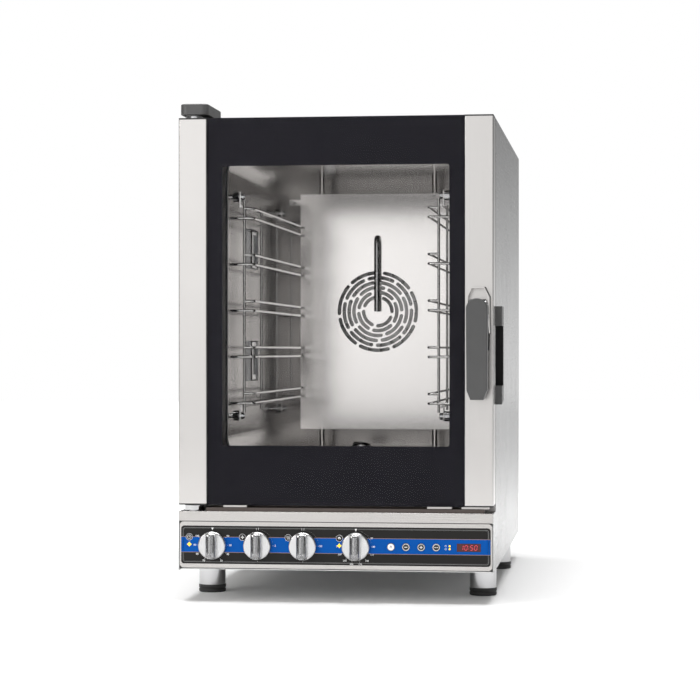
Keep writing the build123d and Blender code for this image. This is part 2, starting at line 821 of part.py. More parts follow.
nut_ys = (y_back, y_back + lock_nut_thickness)
with BuildPart() as drain_pipe:
    with BuildLine() as drain_path:
        FilletPolyline(
            (drain_x, drain_y, cavity_floor - sheet),
            (drain_x, drain_y, drain_z),
            (drain_x, y_back, drain_z),
            radius=drain_bend,
        )
    with BuildSketch(Plane((drain_x, drain_y, cavity_floor - sheet), z_dir=(0, 0, -1))):
        Circle(drain_radius)
        Circle(drain_radius - drain_wall, mode=Mode.SUBTRACT)
    sweep(path=drain_path.wire())
    rod_y(drain_x, drain_z, nut_ys, drain_radius + lock_nut_rim)
    rod_y(drain_x, drain_z, (nut_ys[1], y_rear), drain_radius)
    rod_y(drain_x, drain_z, (y_back, y_rear), drain_radius - drain_wall, Mode.SUBTRACT)
drain_pipe.part.label = "drain_pipe"
export_step(drain_pipe.part, "parts/drain_pipe.step")

with BuildPart() as exhaust_pipe:
    rod_y(exhaust_x, exhaust_z, (rear_wall_back, y_rear), exhaust_radius)
    rod_y(exhaust_x, exhaust_z, nut_ys, exhaust_radius + lock_nut_rim)
    rod_y(exhaust_x, exhaust_z, (rear_wall_back, y_rear), exhaust_radius - sheet, Mode.SUBTRACT)
exhaust_pipe.part.label = "exhaust_pipe"
export_step(exhaust_pipe.part, "parts/exhaust_pipe.step")

valve_y0 = y_back - sheet - fit_gap - valve_depth
with BuildPart() as water_valve:
    valve_ys = (valve_y0, valve_y0 + valve_depth)
    block(around(valve_x, valve_size), valve_ys, around(valve_z, valve_height))
    chamfer(water_valve.edges().filter_by(Axis.Y), length=valve_size / 10)
    rod_y(valve_x, valve_z, (valve_y0 + valve_depth, y_rear), inlet_radius)
    rod_y(valve_x, valve_z, nut_ys, inlet_radius + lock_nut_rim)
    rod_y(valve_x, valve_z, (y_back, y_rear), inlet_bore, Mode.SUBTRACT)
water_valve.part.label = "water_valve"
export_step(water_valve.part, "parts/water_valve.step")

# ---------------------------------------------------------------- electrical entry
with BuildPart() as cable_gland:
    gland_front = y_back - gland_reach
    rod_y(gland_x, gland_z, (gland_front, y_back), gland_thread)
    with BuildSketch(facing(y_back)):
        with Locations((gland_x, gland_z)):
            RegularPolygon(gland_radius, 6)
    extrude(amount=-gland_reach / 3)
    dome_ys = (y_back + gland_reach / 3, y_back + gland_reach)
    rod_y(gland_x, gland_z, dome_ys, gland_dome_radius)
    fillet(cable_gland.edges().group_by(Axis.Y)[-1], radius=gland_radius / 5)
    with BuildSketch(facing(y_back - sheet - gland_reach / 4)):
        with Locations((gland_x, gland_z)):
            RegularPolygon(gland_radius, 6)
    extrude(amount=-gland_reach / 4)
    rod_y(gland_x, gland_z, (gland_front, y_back + gland_reach), gland_bore, Mode.SUBTRACT)
cable_gland.part.label = "cable_gland"
export_step(cable_gland.part, "parts/cable_gland.step")

# ---------------------------------------------------------------- racks
rack_y0 = cavity_front + rack_front_gap
rack_y1 = baffle_y - rack_back_gap
wire_step = wire_radius * 2 + weld_gap
post_y0, post_y1 = rack_y0 + wire_step, rack_y1 - wire_step
post_ys = [post_y0 + (post_y1 - post_y0) * post / (rack_posts - 1) for post in range(rack_posts)]
level_top = cavity_roof - level_drop
level_bottom = cavity_floor + level_rise
level_zs = [
    level_top + (level_bottom - level_top) * level / (rack_levels - 1) for level in range(rack_levels)
]
bar_zs = (level_top + bar_over, level_bottom - wire_pair - wire_step - bar_gap)
stud_zs = (bar_zs[0] + stud_from_bar, bar_zs[1] - stud_from_bar)
stud_ys = (cavity_front + stud_front, baffle_y - stud_back)
hanger_end = rod_from_wall - wire_step - wire_radius - weld_gap
collar_start = hanger_end - hanger_thickness - collar_length

for side, wall, inward in (("left", wall_left, 1), ("right", wall_right, -1)):
    post_x = wall + inward * rod_from_wall
    bar_x = post_x - inward * wire_step
    rail_x = wall + inward * rail_from_wall
    hanger_xs = sorted((wall + inward * (hanger_end - hanger_thickness), wall + inward * hanger_end))
    with BuildPart() as rack:
        for post_y in post_ys:
            post_zs = (bar_zs[1] - post_over, bar_zs[0] + post_over)
            rod_z(post_x, post_y, post_zs, wire_radius)
        for bar_z in bar_zs:
            rod_y(bar_x, bar_z, (rack_y0, rack_y1), wire_radius)
        for level_z in level_zs:
            for leg_end, wire_z in ((post_x, level_z), (wall, level_z - wire_pair)):
                with BuildLine() as wire_path:
                    FilletPolyline(
                        (leg_end, rack_y0, wire_z),
                        (rail_x, rack_y0, wire_z),
                        (rail_x, rack_y1, wire_z),
                        (leg_end, rack_y1, wire_z),
                        radius=wire_bend,
                    )
                with BuildSketch(Plane.YZ.offset(leg_end)):
                    with Locations((rack_y0, wire_z)):
                        Circle(wire_radius)
                sweep(path=wire_path.wire())
        for stud_y in stud_ys:
            for stud_z, bar_z, up in zip(stud_zs, bar_zs, (1, -1)):
                plate_zs = sorted((bar_z - up * wire_radius, stud_z + up * collar_radius))
                block(hanger_xs, around(stud_y, hanger_width), plate_zs)
                rod_x(stud_y, stud_z, hanger_xs, stud_radius, Mode.SUBTRACT)
    rack.part.label = f"{side}_rack"
    export_step(rack.part, f"parts/{side}_rack.step")

with BuildPart() as rack_studs:
    for wall, inward in ((wall_left, 1), (wall_right, -1)):
        steps = (
            (0, stud_length, stud_radius),
            (collar_start, collar_start + collar_length, collar_radius),
            (hanger_end, hanger_end + nut_height, nut_radius),
        )
        for stud_y in stud_ys:
            for stud_z in stud_zs:
                for near, far, radius in steps:
                    step_xs = sorted((wall + inward * near, wall + inward * far))
                    rod_x(stud_y, stud_z, step_xs, radius)
rack_studs.part.label = "rack_studs"
export_step(rack_studs.part, "parts/rack_studs.step")

# ---------------------------------------------------------------- cavity lamps
with BuildPart() as lamp_bezels:
    for lamp_z in lamp_zs:
        bezel_xs = (wall_left, wall_left + lamp_proud)
        block(bezel_xs, around(lamp_y, lamp_size), around(lamp_z, lamp_size))
    chamfer(lamp_bezels.faces().sort_by(Axis.X)[-2:].edges(), length=lamp_proud / 3)
    for lamp_z in lamp_zs:
        block(bezel_xs, around(lamp_y, lens_size), around(lamp_z, lens_size), Mode.SUBTRACT)
lamp_bezels.part.label = "lamp_bezels"
export_step(lamp_bezels.part, "parts/lamp_bezels.step")

with BuildPart() as lamp_lenses:
    for lamp_z in lamp_zs:
        lens_xs = (wall_left, wall_left + lens_thickness)
        block(lens_xs, around(lamp_y, lens_size), around(lamp_z, lens_size))
lamp_lenses.part.label = "lamp_lenses"
export_step(lamp_lenses.part, "parts/lamp_lenses.step")

with BuildPart() as lamp_housings:
    housing_xs = (wall_left - lamp_housing, wall_left)
    for lamp_z in lamp_zs:
        block(housing_xs, around(lamp_y, lamp_box), around(lamp_z, lamp_box))
        block(
            (housing_xs[0] + frame_sheet, housing_xs[1]),
            around(lamp_y, lamp_box - frame_sheet * 2),
            around(lamp_z, lamp_box - frame_sheet * 2),
            Mode.SUBTRACT,
        )
        bulb_x0 = housing_xs[0] + frame_sheet
        rod_x(lamp_y, lamp_z, (bulb_x0, bulb_x0 + bulb_length), bulb_radius)
lamp_housings.part.label = "lamp_housings"
export_step(lamp_housings.part, "parts/lamp_housings.step")

# ---------------------------------------------------------------- between door and body
gasket_front = door_back + fit_gap
with BuildPart() as door_gasket:
    with BuildSketch(facing(gasket_front)):
        for grow, mode in ((gasket_width - gasket_lap, Mode.ADD), (-gasket_lap, Mode.SUBTRACT)):
            span(
                (wall_left - grow, wall_right + grow),
                (cavity_floor - grow, cavity_roof + grow),
                cavity_corner + grow,
                mode,
            )
    extrude(amount=-(frame_y - gasket_front))
door_gasket.part.label = "door_gasket"
export_step(door_gasket.part, "parts/door_gasket.step")

with BuildPart() as door_switch:
    block(
        around(x_right - switch_block_in, switch_block[0]),
        (frame_y - switch_block_depth, frame_y),
        around(switch_block_z, switch_block[1]),
    )
    fillet(door_switch.edges().group_by(Axis.Y)[0], radius=switch_block_depth / 5)
door_switch.part.label = "door_switch"
export_step(door_switch.part, "parts/door_switch.step")

with BuildPart() as drip_tray:
    tray_xs = (x_left + tray_side, x_right - tray_side / 3)
    tray_ys = (door_face + tray_front, door_face + tray_front + tray_depth)
    block(tray_xs, tray_ys, (deck_z, deck_z + tray_height))
    block(
        (tray_xs[0] + sheet, tray_xs[1] - sheet),
        (tray_ys[0] + sheet, tray_ys[1] - sheet),
        (deck_z + sheet, deck_z + tray_height),
        Mode.SUBTRACT,
    )
drip_tray.part.label = "drip_tray"
export_step(drip_tray.part, "parts/drip_tray.step")

# ---------------------------------------------------------------- latch keeper on the body
pin_y = door_face - pin_in_front
pin_z = door_middle + pin_over_middle
lever_x = x_right - handle_in
tongue_z = pin_z - tongue_drop
tongue_tip = door_back + tongue_reach
keeper_xs = (x_right + keeper_proud - keeper_width, x_right + keeper_proud)
slot_z1 = keeper_z1 - keeper_lip
slot_z0 = slot_z1 - keeper_slot_height

with BuildPart() as latch_keeper:
    with BuildSketch(Plane.YZ.offset(keeper_xs[0])):
        with BuildLine():
            Polyline(
                (keeper_y0, keeper_z0),
                (keeper_y1, keeper_z0 + keeper_slant),
                (keeper_y1, keeper_z1),
                (keeper_y0, keeper_z1),
                close=True,
            )
        make_face()
    extrude(amount=keeper_width)
    fillet(latch_keeper.edges().filter_by(Axis.X).group_by(Axis.Y)[-1], radius=keeper_wall)
    block(
        (keeper_xs[0] + keeper_wall, keeper_xs[1]),
        (keeper_y0, keeper_y0 + keeper_slot_depth),
        (slot_z0, slot_z1),
        Mode.SUBTRACT,
    )
latch_keeper.part.label = "latch_keeper"
export_step(latch_keeper.part, "parts/latch_keeper.step")

# ---------------------------------------------------------------- hinge
hinge_x = x_left + hinge_in
hinge_y = door_face + door_thickness / 2
bracket_bottom = body_height + bracket_lift
with BuildPart() as hinge_bracket:
    bracket_xs = (x_left + fascia_side, x_left + fascia_side + bracket_width)
    bracket_zs = (bracket_bottom, bracket_bottom + bracket_thickness)
    block(bracket_xs, (door_face, door_face + bracket_length), bracket_zs)
    fillet(hinge_bracket.edges().filter_by(Axis.Z), radius=bracket_corner)
    fillet(hinge_bracket.edges().group_by(Axis.Z)[-1], radius=bracket_thickness / 8)
    block(
        (bracket_xs[0] + bracket_corner / 2, bracket_xs[1] - bracket_corner / 2),
        (frame_y + fit_gap, door_face + bracket_length - bracket_corner),
        (body_height, bracket_bottom),
    )
    socket_zs = (bracket_bottom, bracket_bottom + bracket_thickness / 2)
    rod_z(hinge_x, hinge_y, socket_zs, pin_radius, Mode.SUBTRACT)
hinge_bracket.part.label = "hinge_bracket"
export_step(hinge_bracket.part, "parts/hinge_bracket.step")

with BuildPart() as hinge_pins:
    rod_z(hinge_x, hinge_y, (deck_z, door_bottom - fit_gap), flange_radius)
    chamfer(hinge_pins.edges().group_by(Axis.Z)[-1], length=flange_radius / 12)
    rod_z(hinge_x, hinge_y, (deck_z, door_bottom + pin_engagement), pin_radius)
    top_pin_zs = (body_height - pin_engagement, socket_zs[1])
    rod_z(hinge_x, hinge_y, top_pin_zs, pin_radius)
    rod_z(hinge_x, hinge_y, (body_height + fit_gap * 2, bracket_bottom), spacer_radius)
hinge_pins.part.label = "hinge_pins"
export_step(hinge_pins.part, "parts/hinge_pins.step")

# ---------------------------------------------------------------- door frame
profile_zs = (door_bottom + cap_thickness, body_height - cap_thickness)
profile_spans = {
    "hinge": (x_left, x_left + profile_width),
    "handle": (x_right - profile_width, x_right),
}
door_ys = (door_face, door_back)
hinge_xs = (profile_spans["hinge"][0] + frame_sheet, profile_spans["hinge"][1] - frame_sheet)
hinge_block_ys = (door_face + frame_sheet, door_back - frame_sheet)
hinge_block_zs = (
    (profile_zs[0], profile_zs[0] + hinge_block_length),
    (profile_zs[1] - hinge_block_length, profile_zs[1]),
)
for side, profile_xs in profile_spans.items():
    with BuildPart() as profile:
        with BuildSketch(Plane.XY.offset(profile_zs[0])):
            span(profile_xs, door_ys, radius=profile_corner)
            span(
                (profile_xs[0] + frame_sheet, profile_xs[1] - frame_sheet),
                (door_ys[0] + frame_sheet, door_ys[1] - frame_sheet),
                mode=Mode.SUBTRACT,
            )
        extrude(amount=profile_zs[1] - profile_zs[0])
        if side == "hinge":
            for block_zs in hinge_block_zs:
                block(hinge_xs, hinge_block_ys, block_zs)
                rod_z(hinge_x, hinge_y, block_zs, pin_radius + running_gap, Mode.SUBTRACT)
        else:
            slot_xs = around(lever_x + tongue_offset, tongue_slot_width)
            front_slot = (tongue_z - front_slot_drop, tongue_z + tongue_height)
            rear_slot = (tongue_z - rear_slot_drop, tongue_z + tongue_height)
            block(slot_xs, (door_ys[0], door_ys[0] + frame_sheet), front_slot, Mode.SUBTRACT)
            block(slot_xs, (door_ys[1] - frame_sheet, door_ys[1]), rear_slot, Mode.SUBTRACT)
    profile.part.label = f"{side}_side_profile"
    export_step(profile.part, f"parts/{side}_side_profile.step")

with BuildPart() as profile_caps:
    for profile_xs in profile_spans.values():
        block(profile_xs, door_ys, (door_bottom, profile_zs[0]))
        block(profile_xs, door_ys, (profile_zs[1], body_height))
    fillet(profile_caps.edges().filter_by(Axis.Z), radius=profile_corner)
    for cap_zs in ((door_bottom, profile_zs[0]), (profile_zs[1], body_height)):
        rod_z(hinge_x, hinge_y, cap_zs, pin_radius + fit_gap * 2, Mode.SUBTRACT)
profile_caps.part.label = "profile_caps"
export_step(profile_caps.part, "parts/profile_caps.step")

glass_xs = (x_left + profile_width + glass_gap, x_right - profile_width - glass_gap)
glass_zs = (door_bottom, body_height)
with BuildPart() as outer_glass:
    glass_ys = (door_face, door_face + outer_glass_thickness)
    block(glass_xs, glass_ys, glass_zs)
    chamfer(outer_glass.edges().filter_by(Axis.Z).group_by(Axis.Y)[0], length=outer_glass_thickness / 8)
outer_glass.part.label = "outer_glass"
export_step(outer_glass.part, "parts/outer_glass.step")

window_xs = (glass_xs[0] + window_border, glass_xs[1] - window_border)
window_zs = (door_bottom + window_bottom_border, body_height - window_top_border)
frit_back = door_face + outer_glass_thickness + frit_thickness
with BuildPart() as frit_border:
    with BuildSketch(facing(door_face + outer_glass_thickness)):
        span(glass_xs, glass_zs)
        span(window_xs, window_zs, window_corner, Mode.SUBTRACT)
    extrude(amount=-frit_thickness)
frit_border.part.label = "frit_border"
export_step(frit_border.part, "parts/frit_border.step")

liner_front = door_back - frame_sheet
with BuildPart() as inner_glass:
    lap = seal_overlap + inner_glass_lap
    with BuildSketch(facing(liner_front - inner_glass_thickness)):
        span((wall_left - lap, wall_right + lap), (cavity_floor - lap, cavity_roof + lap), cavity_corner / 4)
    extrude(amount=-inner_glass_thickness)
inner_glass.part.label = "inner_glass"
export_step(inner_glass.part, "parts/inner_glass.step")

rail_ys = (frit_back, liner_front)
with BuildPart() as door_inner_frame:
    for rail_zs in (
        (profile_zs[0], profile_zs[0] + rail_height),
        (profile_zs[1] - rail_height, profile_zs[1]),
    ):
        block(glass_xs, rail_ys, rail_zs)
        block(
            glass_xs,
            (rail_ys[0] + frame_sheet, rail_ys[1]),
            (rail_zs[0] + frame_sheet, rail_zs[1] - frame_sheet),
            Mode.SUBTRACT,
        )
    with BuildSketch(facing(liner_front)):
        span(glass_xs, profile_zs)
        span(
            (wall_left - seal_overlap, wall_right + seal_overlap),
            (cavity_floor - seal_overlap, cavity_roof + seal_overlap),
            cavity_corner,
            Mode.SUBTRACT,
        )
    extrude(amount=-frame_sheet)
    for clip_place in clip_places:
        clip_xs = tuple(x_left + share * body_width for share in clip_place)
        clip_ys = (door_face + fit_gap, door_face + clip_depth)
        block(clip_xs, clip_ys, (door_bottom - clip_height, door_bottom))
door_inner_frame.part.label = "door_inner_frame"
export_step(door_inner_frame.part, "parts/door_inner_frame.step")

# ---------------------------------------------------------------- handle
hood_xs = around(lever_x, hood_width)
hood_top = pin_z + hood_rise
hood_front = door_face - hood_depth
with BuildPart() as handle_bracket:
    with BuildSketch(facing(hood_front)):
        with BuildLine():
            Polyline(
                (hood_xs[0], pin_z - hood_drop),
                (hood_xs[1], pin_z - hood_drop),
                (hood_xs[1], hood_top - hood_chamfer * 2),
                (hood_xs[1] - hood_chamfer, hood_top),
                (hood_xs[0] + hood_chamfer, hood_top),
                (hood_xs[0], hood_top - hood_chamfer * 2),
                close=True,
            )
        make_face()
    extrude(amount=-hood_depth)
    with BuildSketch(facing(hood_front)):
        with BuildLine():
            Polyline(
                (hood_xs[0] + hood_sheet, pin_z - hood_drop),
                (hood_xs[1] - hood_sheet, pin_z - hood_drop),
                (hood_xs[1] - hood_sheet, hood_top - hood_chamfer * 2),
                (hood_xs[1] - hood_chamfer, hood_top - hood_sheet),
                (hood_xs[0] + hood_chamfer, hood_top - hood_sheet),
                (hood_xs[0] + hood_sheet, hood_top - hood_chamfer * 2),
                close=True,
            )
        make_face()
    extrude(amount=-(hood_depth - hood_sheet), mode=Mode.SUBTRACT)
    with BuildSketch(Plane.YZ.offset(hood_xs[0])):
        with BuildLine():
            Polyline(
                (hood_front, pin_z - hood_drop),
                (door_face - hood_sheet, pin_z - hood_drop),
                (hood_front, pin_z - hood_drop / 3),
                close=True,
            )
        make_face()
    extrude(amount=hood_width, mode=Mode.SUBTRACT)
    block(slot_xs, (door_face - hood_sheet, door_face), front_slot, Mode.SUBTRACT)
    rod_x(pin_y, pin_z, hood_xs, handle_pin_radius, Mode.SUBTRACT)
handle_bracket.part.label = "handle_bracket"
export_step(handle_bracket.part, "parts/handle_bracket.step")

with BuildPart() as handle_pin:
    rod_x(pin_y, pin_z, hood_xs, handle_pin_radius)
handle_pin.part.label = "handle_pin"
export_step(handle_pin.part, "parts/handle_pin.step")

lever_top = pin_z + lever_top_over_pin
lever_front = door_face - handle_reach
tongue_xs = around(lever_x + tongue_offset, tongue_thickness)
with BuildPart() as handle_lever:
    with BuildSketch(facing(lever_front)):
        with BuildLine():
            Polyline(
                (lever_x - lever_width / 2, lever_top - lever_width / 2),
                (lever_x - lever_width / 2 + lever_taper, lever_top - lever_height + lever_foot_height),
                (lever_x - lever_foot_width / 2, lever_top - lever_height),
                (lever_x + lever_foot_width / 2, lever_top - lever_height),
                (lever_x + lever_width / 2 - lever_taper, lever_top - lever_height + lever_foot_height),
                (lever_x + lever_width / 2, lever_top - lever_width / 2),
            )
            ThreePointArc(
                (lever_x + lever_width / 2, lever_top - lever_width / 2),
                (lever_x, lever_top),
                (lever_x - lever_width / 2, lever_top - lever_width / 2),
            )
        make_face()
    extrude(amount=-lever_thickness)
    fillet(handle_lever.edges().group_by(Axis.Y)[0], radius=lever_thickness / 10)
    boss_xs = (lever_x - boss_width / 2, tongue_xs[0])
    rod_x(pin_y, pin_z, boss_xs, boss_radius)
    web_ys = (lever_front + lever_thickness, pin_y)
    block(boss_xs, web_ys, around(pin_z - boss_radius / 2, boss_radius))
    rod_x(pin_y, pin_z, boss_xs, handle_pin_radius + running_gap, Mode.SUBTRACT)
handle_lever.part.label = "handle_lever"
export_step(handle_lever.part, "parts/handle_lever.step")

with BuildPart() as latch_tongue:
    with BuildSketch(Plane.YZ.offset(tongue_xs[0])):
        with Locations((pin_y, pin_z)):
            Circle(boss_radius)
        span((pin_y - boss_radius, pin_y + boss_radius / 2), (tongue_z - tongue_height / 2, pin_z))
        span((pin_y - boss_radius, tongue_tip), around(tongue_z, tongue_height))
        with Locations((pin_y, pin_z)):
            Circle(handle_pin_radius + running_gap, mode=Mode.SUBTRACT)
    extrude(amount=tongue_thickness)
    tip_edges = latch_tongue.edges().filter_by(Axis.X).group_by(Axis.Y)[-1]
    chamfer(tip_edges, length=tongue_height / 4)
latch_tongue.part.label = "latch_tongue"
export_step(latch_tongue.part, "parts/latch_tongue.step")
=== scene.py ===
"""Looks for the combi steamer oven: finishes, printed panel, seal, studio and camera."""

import math

import bmesh
import bpy
from mathutils import Matrix, Vector


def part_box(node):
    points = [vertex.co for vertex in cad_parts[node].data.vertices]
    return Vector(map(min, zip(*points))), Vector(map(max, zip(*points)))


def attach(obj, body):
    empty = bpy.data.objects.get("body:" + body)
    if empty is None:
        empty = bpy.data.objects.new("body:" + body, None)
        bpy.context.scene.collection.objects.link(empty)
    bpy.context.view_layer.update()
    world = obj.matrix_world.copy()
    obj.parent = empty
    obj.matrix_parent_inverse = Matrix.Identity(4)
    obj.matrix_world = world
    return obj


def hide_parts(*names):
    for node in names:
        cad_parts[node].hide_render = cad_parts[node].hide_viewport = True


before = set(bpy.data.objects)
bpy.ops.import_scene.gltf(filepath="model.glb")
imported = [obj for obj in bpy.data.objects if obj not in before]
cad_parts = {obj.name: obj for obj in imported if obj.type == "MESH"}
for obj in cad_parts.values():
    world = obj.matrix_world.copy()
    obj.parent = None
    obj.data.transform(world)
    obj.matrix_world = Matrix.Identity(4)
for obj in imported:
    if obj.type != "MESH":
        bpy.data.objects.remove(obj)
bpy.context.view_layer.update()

MM = 0.001


# ------------------------------------------------------------------ node helpers
def node(tree, kind, settings=None, **values):
    """Add a node, set its properties, then its input sockets by name."""
    made = tree.nodes.new(kind)
    for key, value in (settings or {}).items():
        setattr(made, key, value)
    for key, value in values.items():
        made.inputs[key.replace("_", " ")].default_value = value
    return made


def new_group(name, inputs, outputs):
    """A shader node group with named sockets: inputs are (name, kind, default)."""
    tree = bpy.data.node_groups.new(name, "ShaderNodeTree")
    for label, kind, default in inputs:
        socket = tree.interface.new_socket(label, in_out="INPUT", socket_type=kind)
        socket.default_value = default
    for label, kind in outputs:
        tree.interface.new_socket(label, in_out="OUTPUT", socket_type=kind)
    return tree, tree.nodes.new("NodeGroupInput"), tree.nodes.new("NodeGroupOutput")


def math_node(tree, operation, first, second):
    """A math node with sockets or numbers on its two inputs."""
    made = node(tree, "ShaderNodeMath", {"operation": operation})
    for index, value in enumerate((first, second)):
        if isinstance(value, (int, float)):
            made.inputs[index].default_value = value
        else:
            tree.links.new(value, made.inputs[index])
    return made.outputs[0]


FLOAT, VECTOR, COLOR = "NodeSocketFloat", "NodeSocketVector", "NodeSocketColor"


def make_grain_group():
    """Long scratches left by the brushing belt, drawn out along one axis."""
    tree, inside, outside = new_group(
        "brushed grain",
        (("Stretch", VECTOR, (1.0, 1.0, 1.0)), ("Contrast", FLOAT, 1.0)),
        (("Streak", FLOAT), ("Band", FLOAT)),
    )
    place = node(tree, "ShaderNodeTexCoord")
    drawn = node(tree, "ShaderNodeVectorMath", {"operation": "MULTIPLY"})
    fine = node(tree, "ShaderNodeTexNoise", Scale=1.0, Detail=5.0, Roughness=0.72)
    broad = node(tree, "ShaderNodeTexNoise", Scale=0.09, Detail=2.0, Roughness=0.5)
    tree.links.new(place.outputs["Object"], drawn.inputs[0])
    tree.links.new(inside.outputs["Stretch"], drawn.inputs[1])
    for texture in (fine, broad):
        tree.links.new(drawn.outputs[0], texture.inputs["Vector"])
    centred = math_node(tree, "SUBTRACT", fine.outputs["Fac"], 0.5)
    scaled = math_node(tree, "MULTIPLY", centred, inside.outputs["Contrast"])
    streak = math_node(tree, "ADD", scaled, 0.5)
    tree.links.new(streak, outside.inputs["Streak"])
    tree.links.new(broad.outputs["Fac"], outside.inputs["Band"])
    return tree


def make_smudge_group():
    """Soft patches: wiping marks, finger grease and heat haze."""
    tree, inside, outside = new_group(
        "wiping marks",
        (("Size", FLOAT, 6.0), ("Sharpness", FLOAT, 0.25)),
        (("Mark", FLOAT),),
    )
    place = node(tree, "ShaderNodeTexCoord")
    texture = node(tree, "ShaderNodeTexNoise", Detail=4.0, Roughness=0.6, Distortion=1.2)
    spread = node(tree, "ShaderNodeMapRange", {"clamp": True})
    tree.links.new(place.outputs["Object"], texture.inputs["Vector"])
    tree.links.new(inside.outputs["Size"], texture.inputs["Scale"])
    tree.links.new(texture.outputs["Fac"], spread.inputs["Value"])
    low = math_node(tree, "SUBTRACT", 0.5, inside.outputs["Sharpness"])
    high = math_node(tree, "ADD", 0.5, inside.outputs["Sharpness"])
    tree.links.new(low, spread.inputs["From Min"])
    tree.links.new(high, spread.inputs["From Max"])
    tree.links.new(spread.outputs["Result"], outside.inputs["Mark"])
    return tree


def make_edge_group():
    """Where an edge has been rubbed bright: a mask that is broken up along the edge."""
    tree, inside, outside = new_group(
        "edge wear",
        (("Width", FLOAT, 0.0008), ("Breaks", FLOAT, 90.0), ("Amount", FLOAT, 0.7)),
        (("Wear", FLOAT),),
    )
    rounded = node(tree, "ShaderNodeBevel", {"samples": 4})
    surface = node(tree, "ShaderNodeNewGeometry")
    turn = node(tree, "ShaderNodeVectorMath", {"operation": "DOT_PRODUCT"})
    place = node(tree, "ShaderNodeTexCoord")
    chips = node(tree, "ShaderNodeTexNoise", Detail=3.0, Roughness=0.6)
    tree.links.new(inside.outputs["Width"], rounded.inputs["Radius"])
    tree.links.new(rounded.outputs[0], turn.inputs[0])
    tree.links.new(surface.outputs["Normal"], turn.inputs[1])
    tree.links.new(place.outputs["Object"], chips.inputs["Vector"])
    tree.links.new(inside.outputs["Breaks"], chips.inputs["Scale"])
    away = math_node(tree, "SUBTRACT", 1.0, turn.outputs["Value"])
    edge = math_node(tree, "MULTIPLY", away, 5.0)
    broken = math_node(tree, "MULTIPLY", edge, chips.outputs["Fac"])
    level = math_node(tree, "MULTIPLY", broken, inside.outputs["Amount"])
    clipped = math_node(tree, "MINIMUM", level, 1.0)
    tree.links.new(clipped, outside.inputs["Wear"])
    return tree


def make_pebble_group():
    """The fine spark-eroded texture of a plastic mould."""
    tree, inside, outside = new_group(
        "moulded texture",
        (("Scale", FLOAT, 1800.0),),
        (("Pebble", FLOAT), ("Mottle", FLOAT)),
    )
    place = node(tree, "ShaderNodeTexCoord")
    small = node(tree, "ShaderNodeTexNoise", Detail=2.0, Roughness=0.5)
    large = node(tree, "ShaderNodeTexNoise", Scale=22.0, Detail=3.0, Roughness=0.6)
    for texture in (small, large):
        tree.links.new(place.outputs["Object"], texture.inputs["Vector"])
    tree.links.new(inside.outputs["Scale"], small.inputs["Scale"])
    tree.links.new(small.outputs["Fac"], outside.inputs["Pebble"])
    tree.links.new(large.outputs["Fac"], outside.inputs["Mottle"])
    return tree


GRAIN = make_grain_group()
SMUDGE = make_smudge_group()
EDGE = make_edge_group()
PEBBLE = make_pebble_group()


def use_group(tree, group, **values):
    """Place a node group in a material with its own values."""
    made = node(tree, "ShaderNodeGroup", {"node_tree": group})
    for key, value in values.items():
        made.inputs[key].default_value = value
    return made


def start_material(name, **shader_values):
    """A new material: its node tree and its Principled shader."""
    material = bpy.data.materials.new(name)
    material.use_nodes = True
    tree = material.node_tree
    shader = next(n for n in tree.nodes if n.type == "BSDF_PRINCIPLED")
    for key, value in shader_values.items():
        shader.inputs[key.replace("_", " ")].default_value = value
    return material, tree, shader


def mix_colour(tree, factor, low, high):
    """Blend two colours, or a colour socket and a colour, by a mask."""
    made = node(tree, "ShaderNodeMix", {"data_type": "RGBA"})
    tree.links.new(factor, made.inputs["Factor"])
    for index, value in ((6, low), (7, high)):
        if isinstance(value, tuple):
            made.inputs[index].default_value = (*value, 1.0)
        else:
            tree.links.new(value, made.inputs[index])
    return made.outputs[2]


def spread(tree, value, low, high):
    """Map a 0 to 1 mask onto a range."""
    made = node(tree, "ShaderNodeMapRange", {"clamp": True}, To_Min=low, To_Max=high)
    tree.links.new(value, made.inputs["Value"])
    return made.outputs["Result"]


def bump(tree, shader, height, strength, distance):
    """Raise the surface by a height mask."""
    made = node(tree, "ShaderNodeBump", Strength=strength, Distance=distance)
    tree.links.new(height, made.inputs["Height"])
    tree.links.new(made.outputs["Normal"], shader.inputs["Normal"])


# ------------------------------------------------------------------ finishes
STRETCH = {"x": (7.0, 1500.0, 1500.0), "y": (1500.0, 7.0, 1500.0), "z": (1500.0, 1500.0, 7.0)}


def brushed_steel(name, colour, along, rough, grain=0.07, smudge=0.05):
    """Stainless sheet, brushed along one axis, wiped and rubbed at its edges."""
    material, tree, shader = start_material(name, Metallic=1.0)
    lines = use_group(tree, GRAIN, Stretch=STRETCH[along], Contrast=1.4)
    marks = use_group(tree, SMUDGE, Size=5.0, Sharpness=0.2)
    edges = use_group(tree, EDGE, Width=0.0009, Breaks=120.0, Amount=0.6)
    darker = tuple(channel * (1 - grain) for channel in colour)
    brighter = tuple(min(1.0, channel * (1 + grain)) for channel in colour)
    worn = tuple(min(1.0, channel * 1.15) for channel in colour)
    streaked = mix_colour(tree, lines.outputs["Streak"], darker, brighter)
    banded = mix_colour(tree, spread(tree, lines.outputs["Band"], 0.0, 0.35), streaked, darker)
    tree.links.new(mix_colour(tree, edges.outputs["Wear"], banded, worn), shader.inputs["Base Color"])
    base = spread(tree, lines.outputs["Streak"], rough - grain / 2, rough + grain)
    wiped = spread(tree, marks.outputs["Mark"], 0.0, smudge)
    tree.links.new(math_node(tree, "ADD", base, wiped), shader.inputs["Roughness"])
    bump(tree, shader, lines.outputs["Streak"], 0.05, 0.0002)
    return material


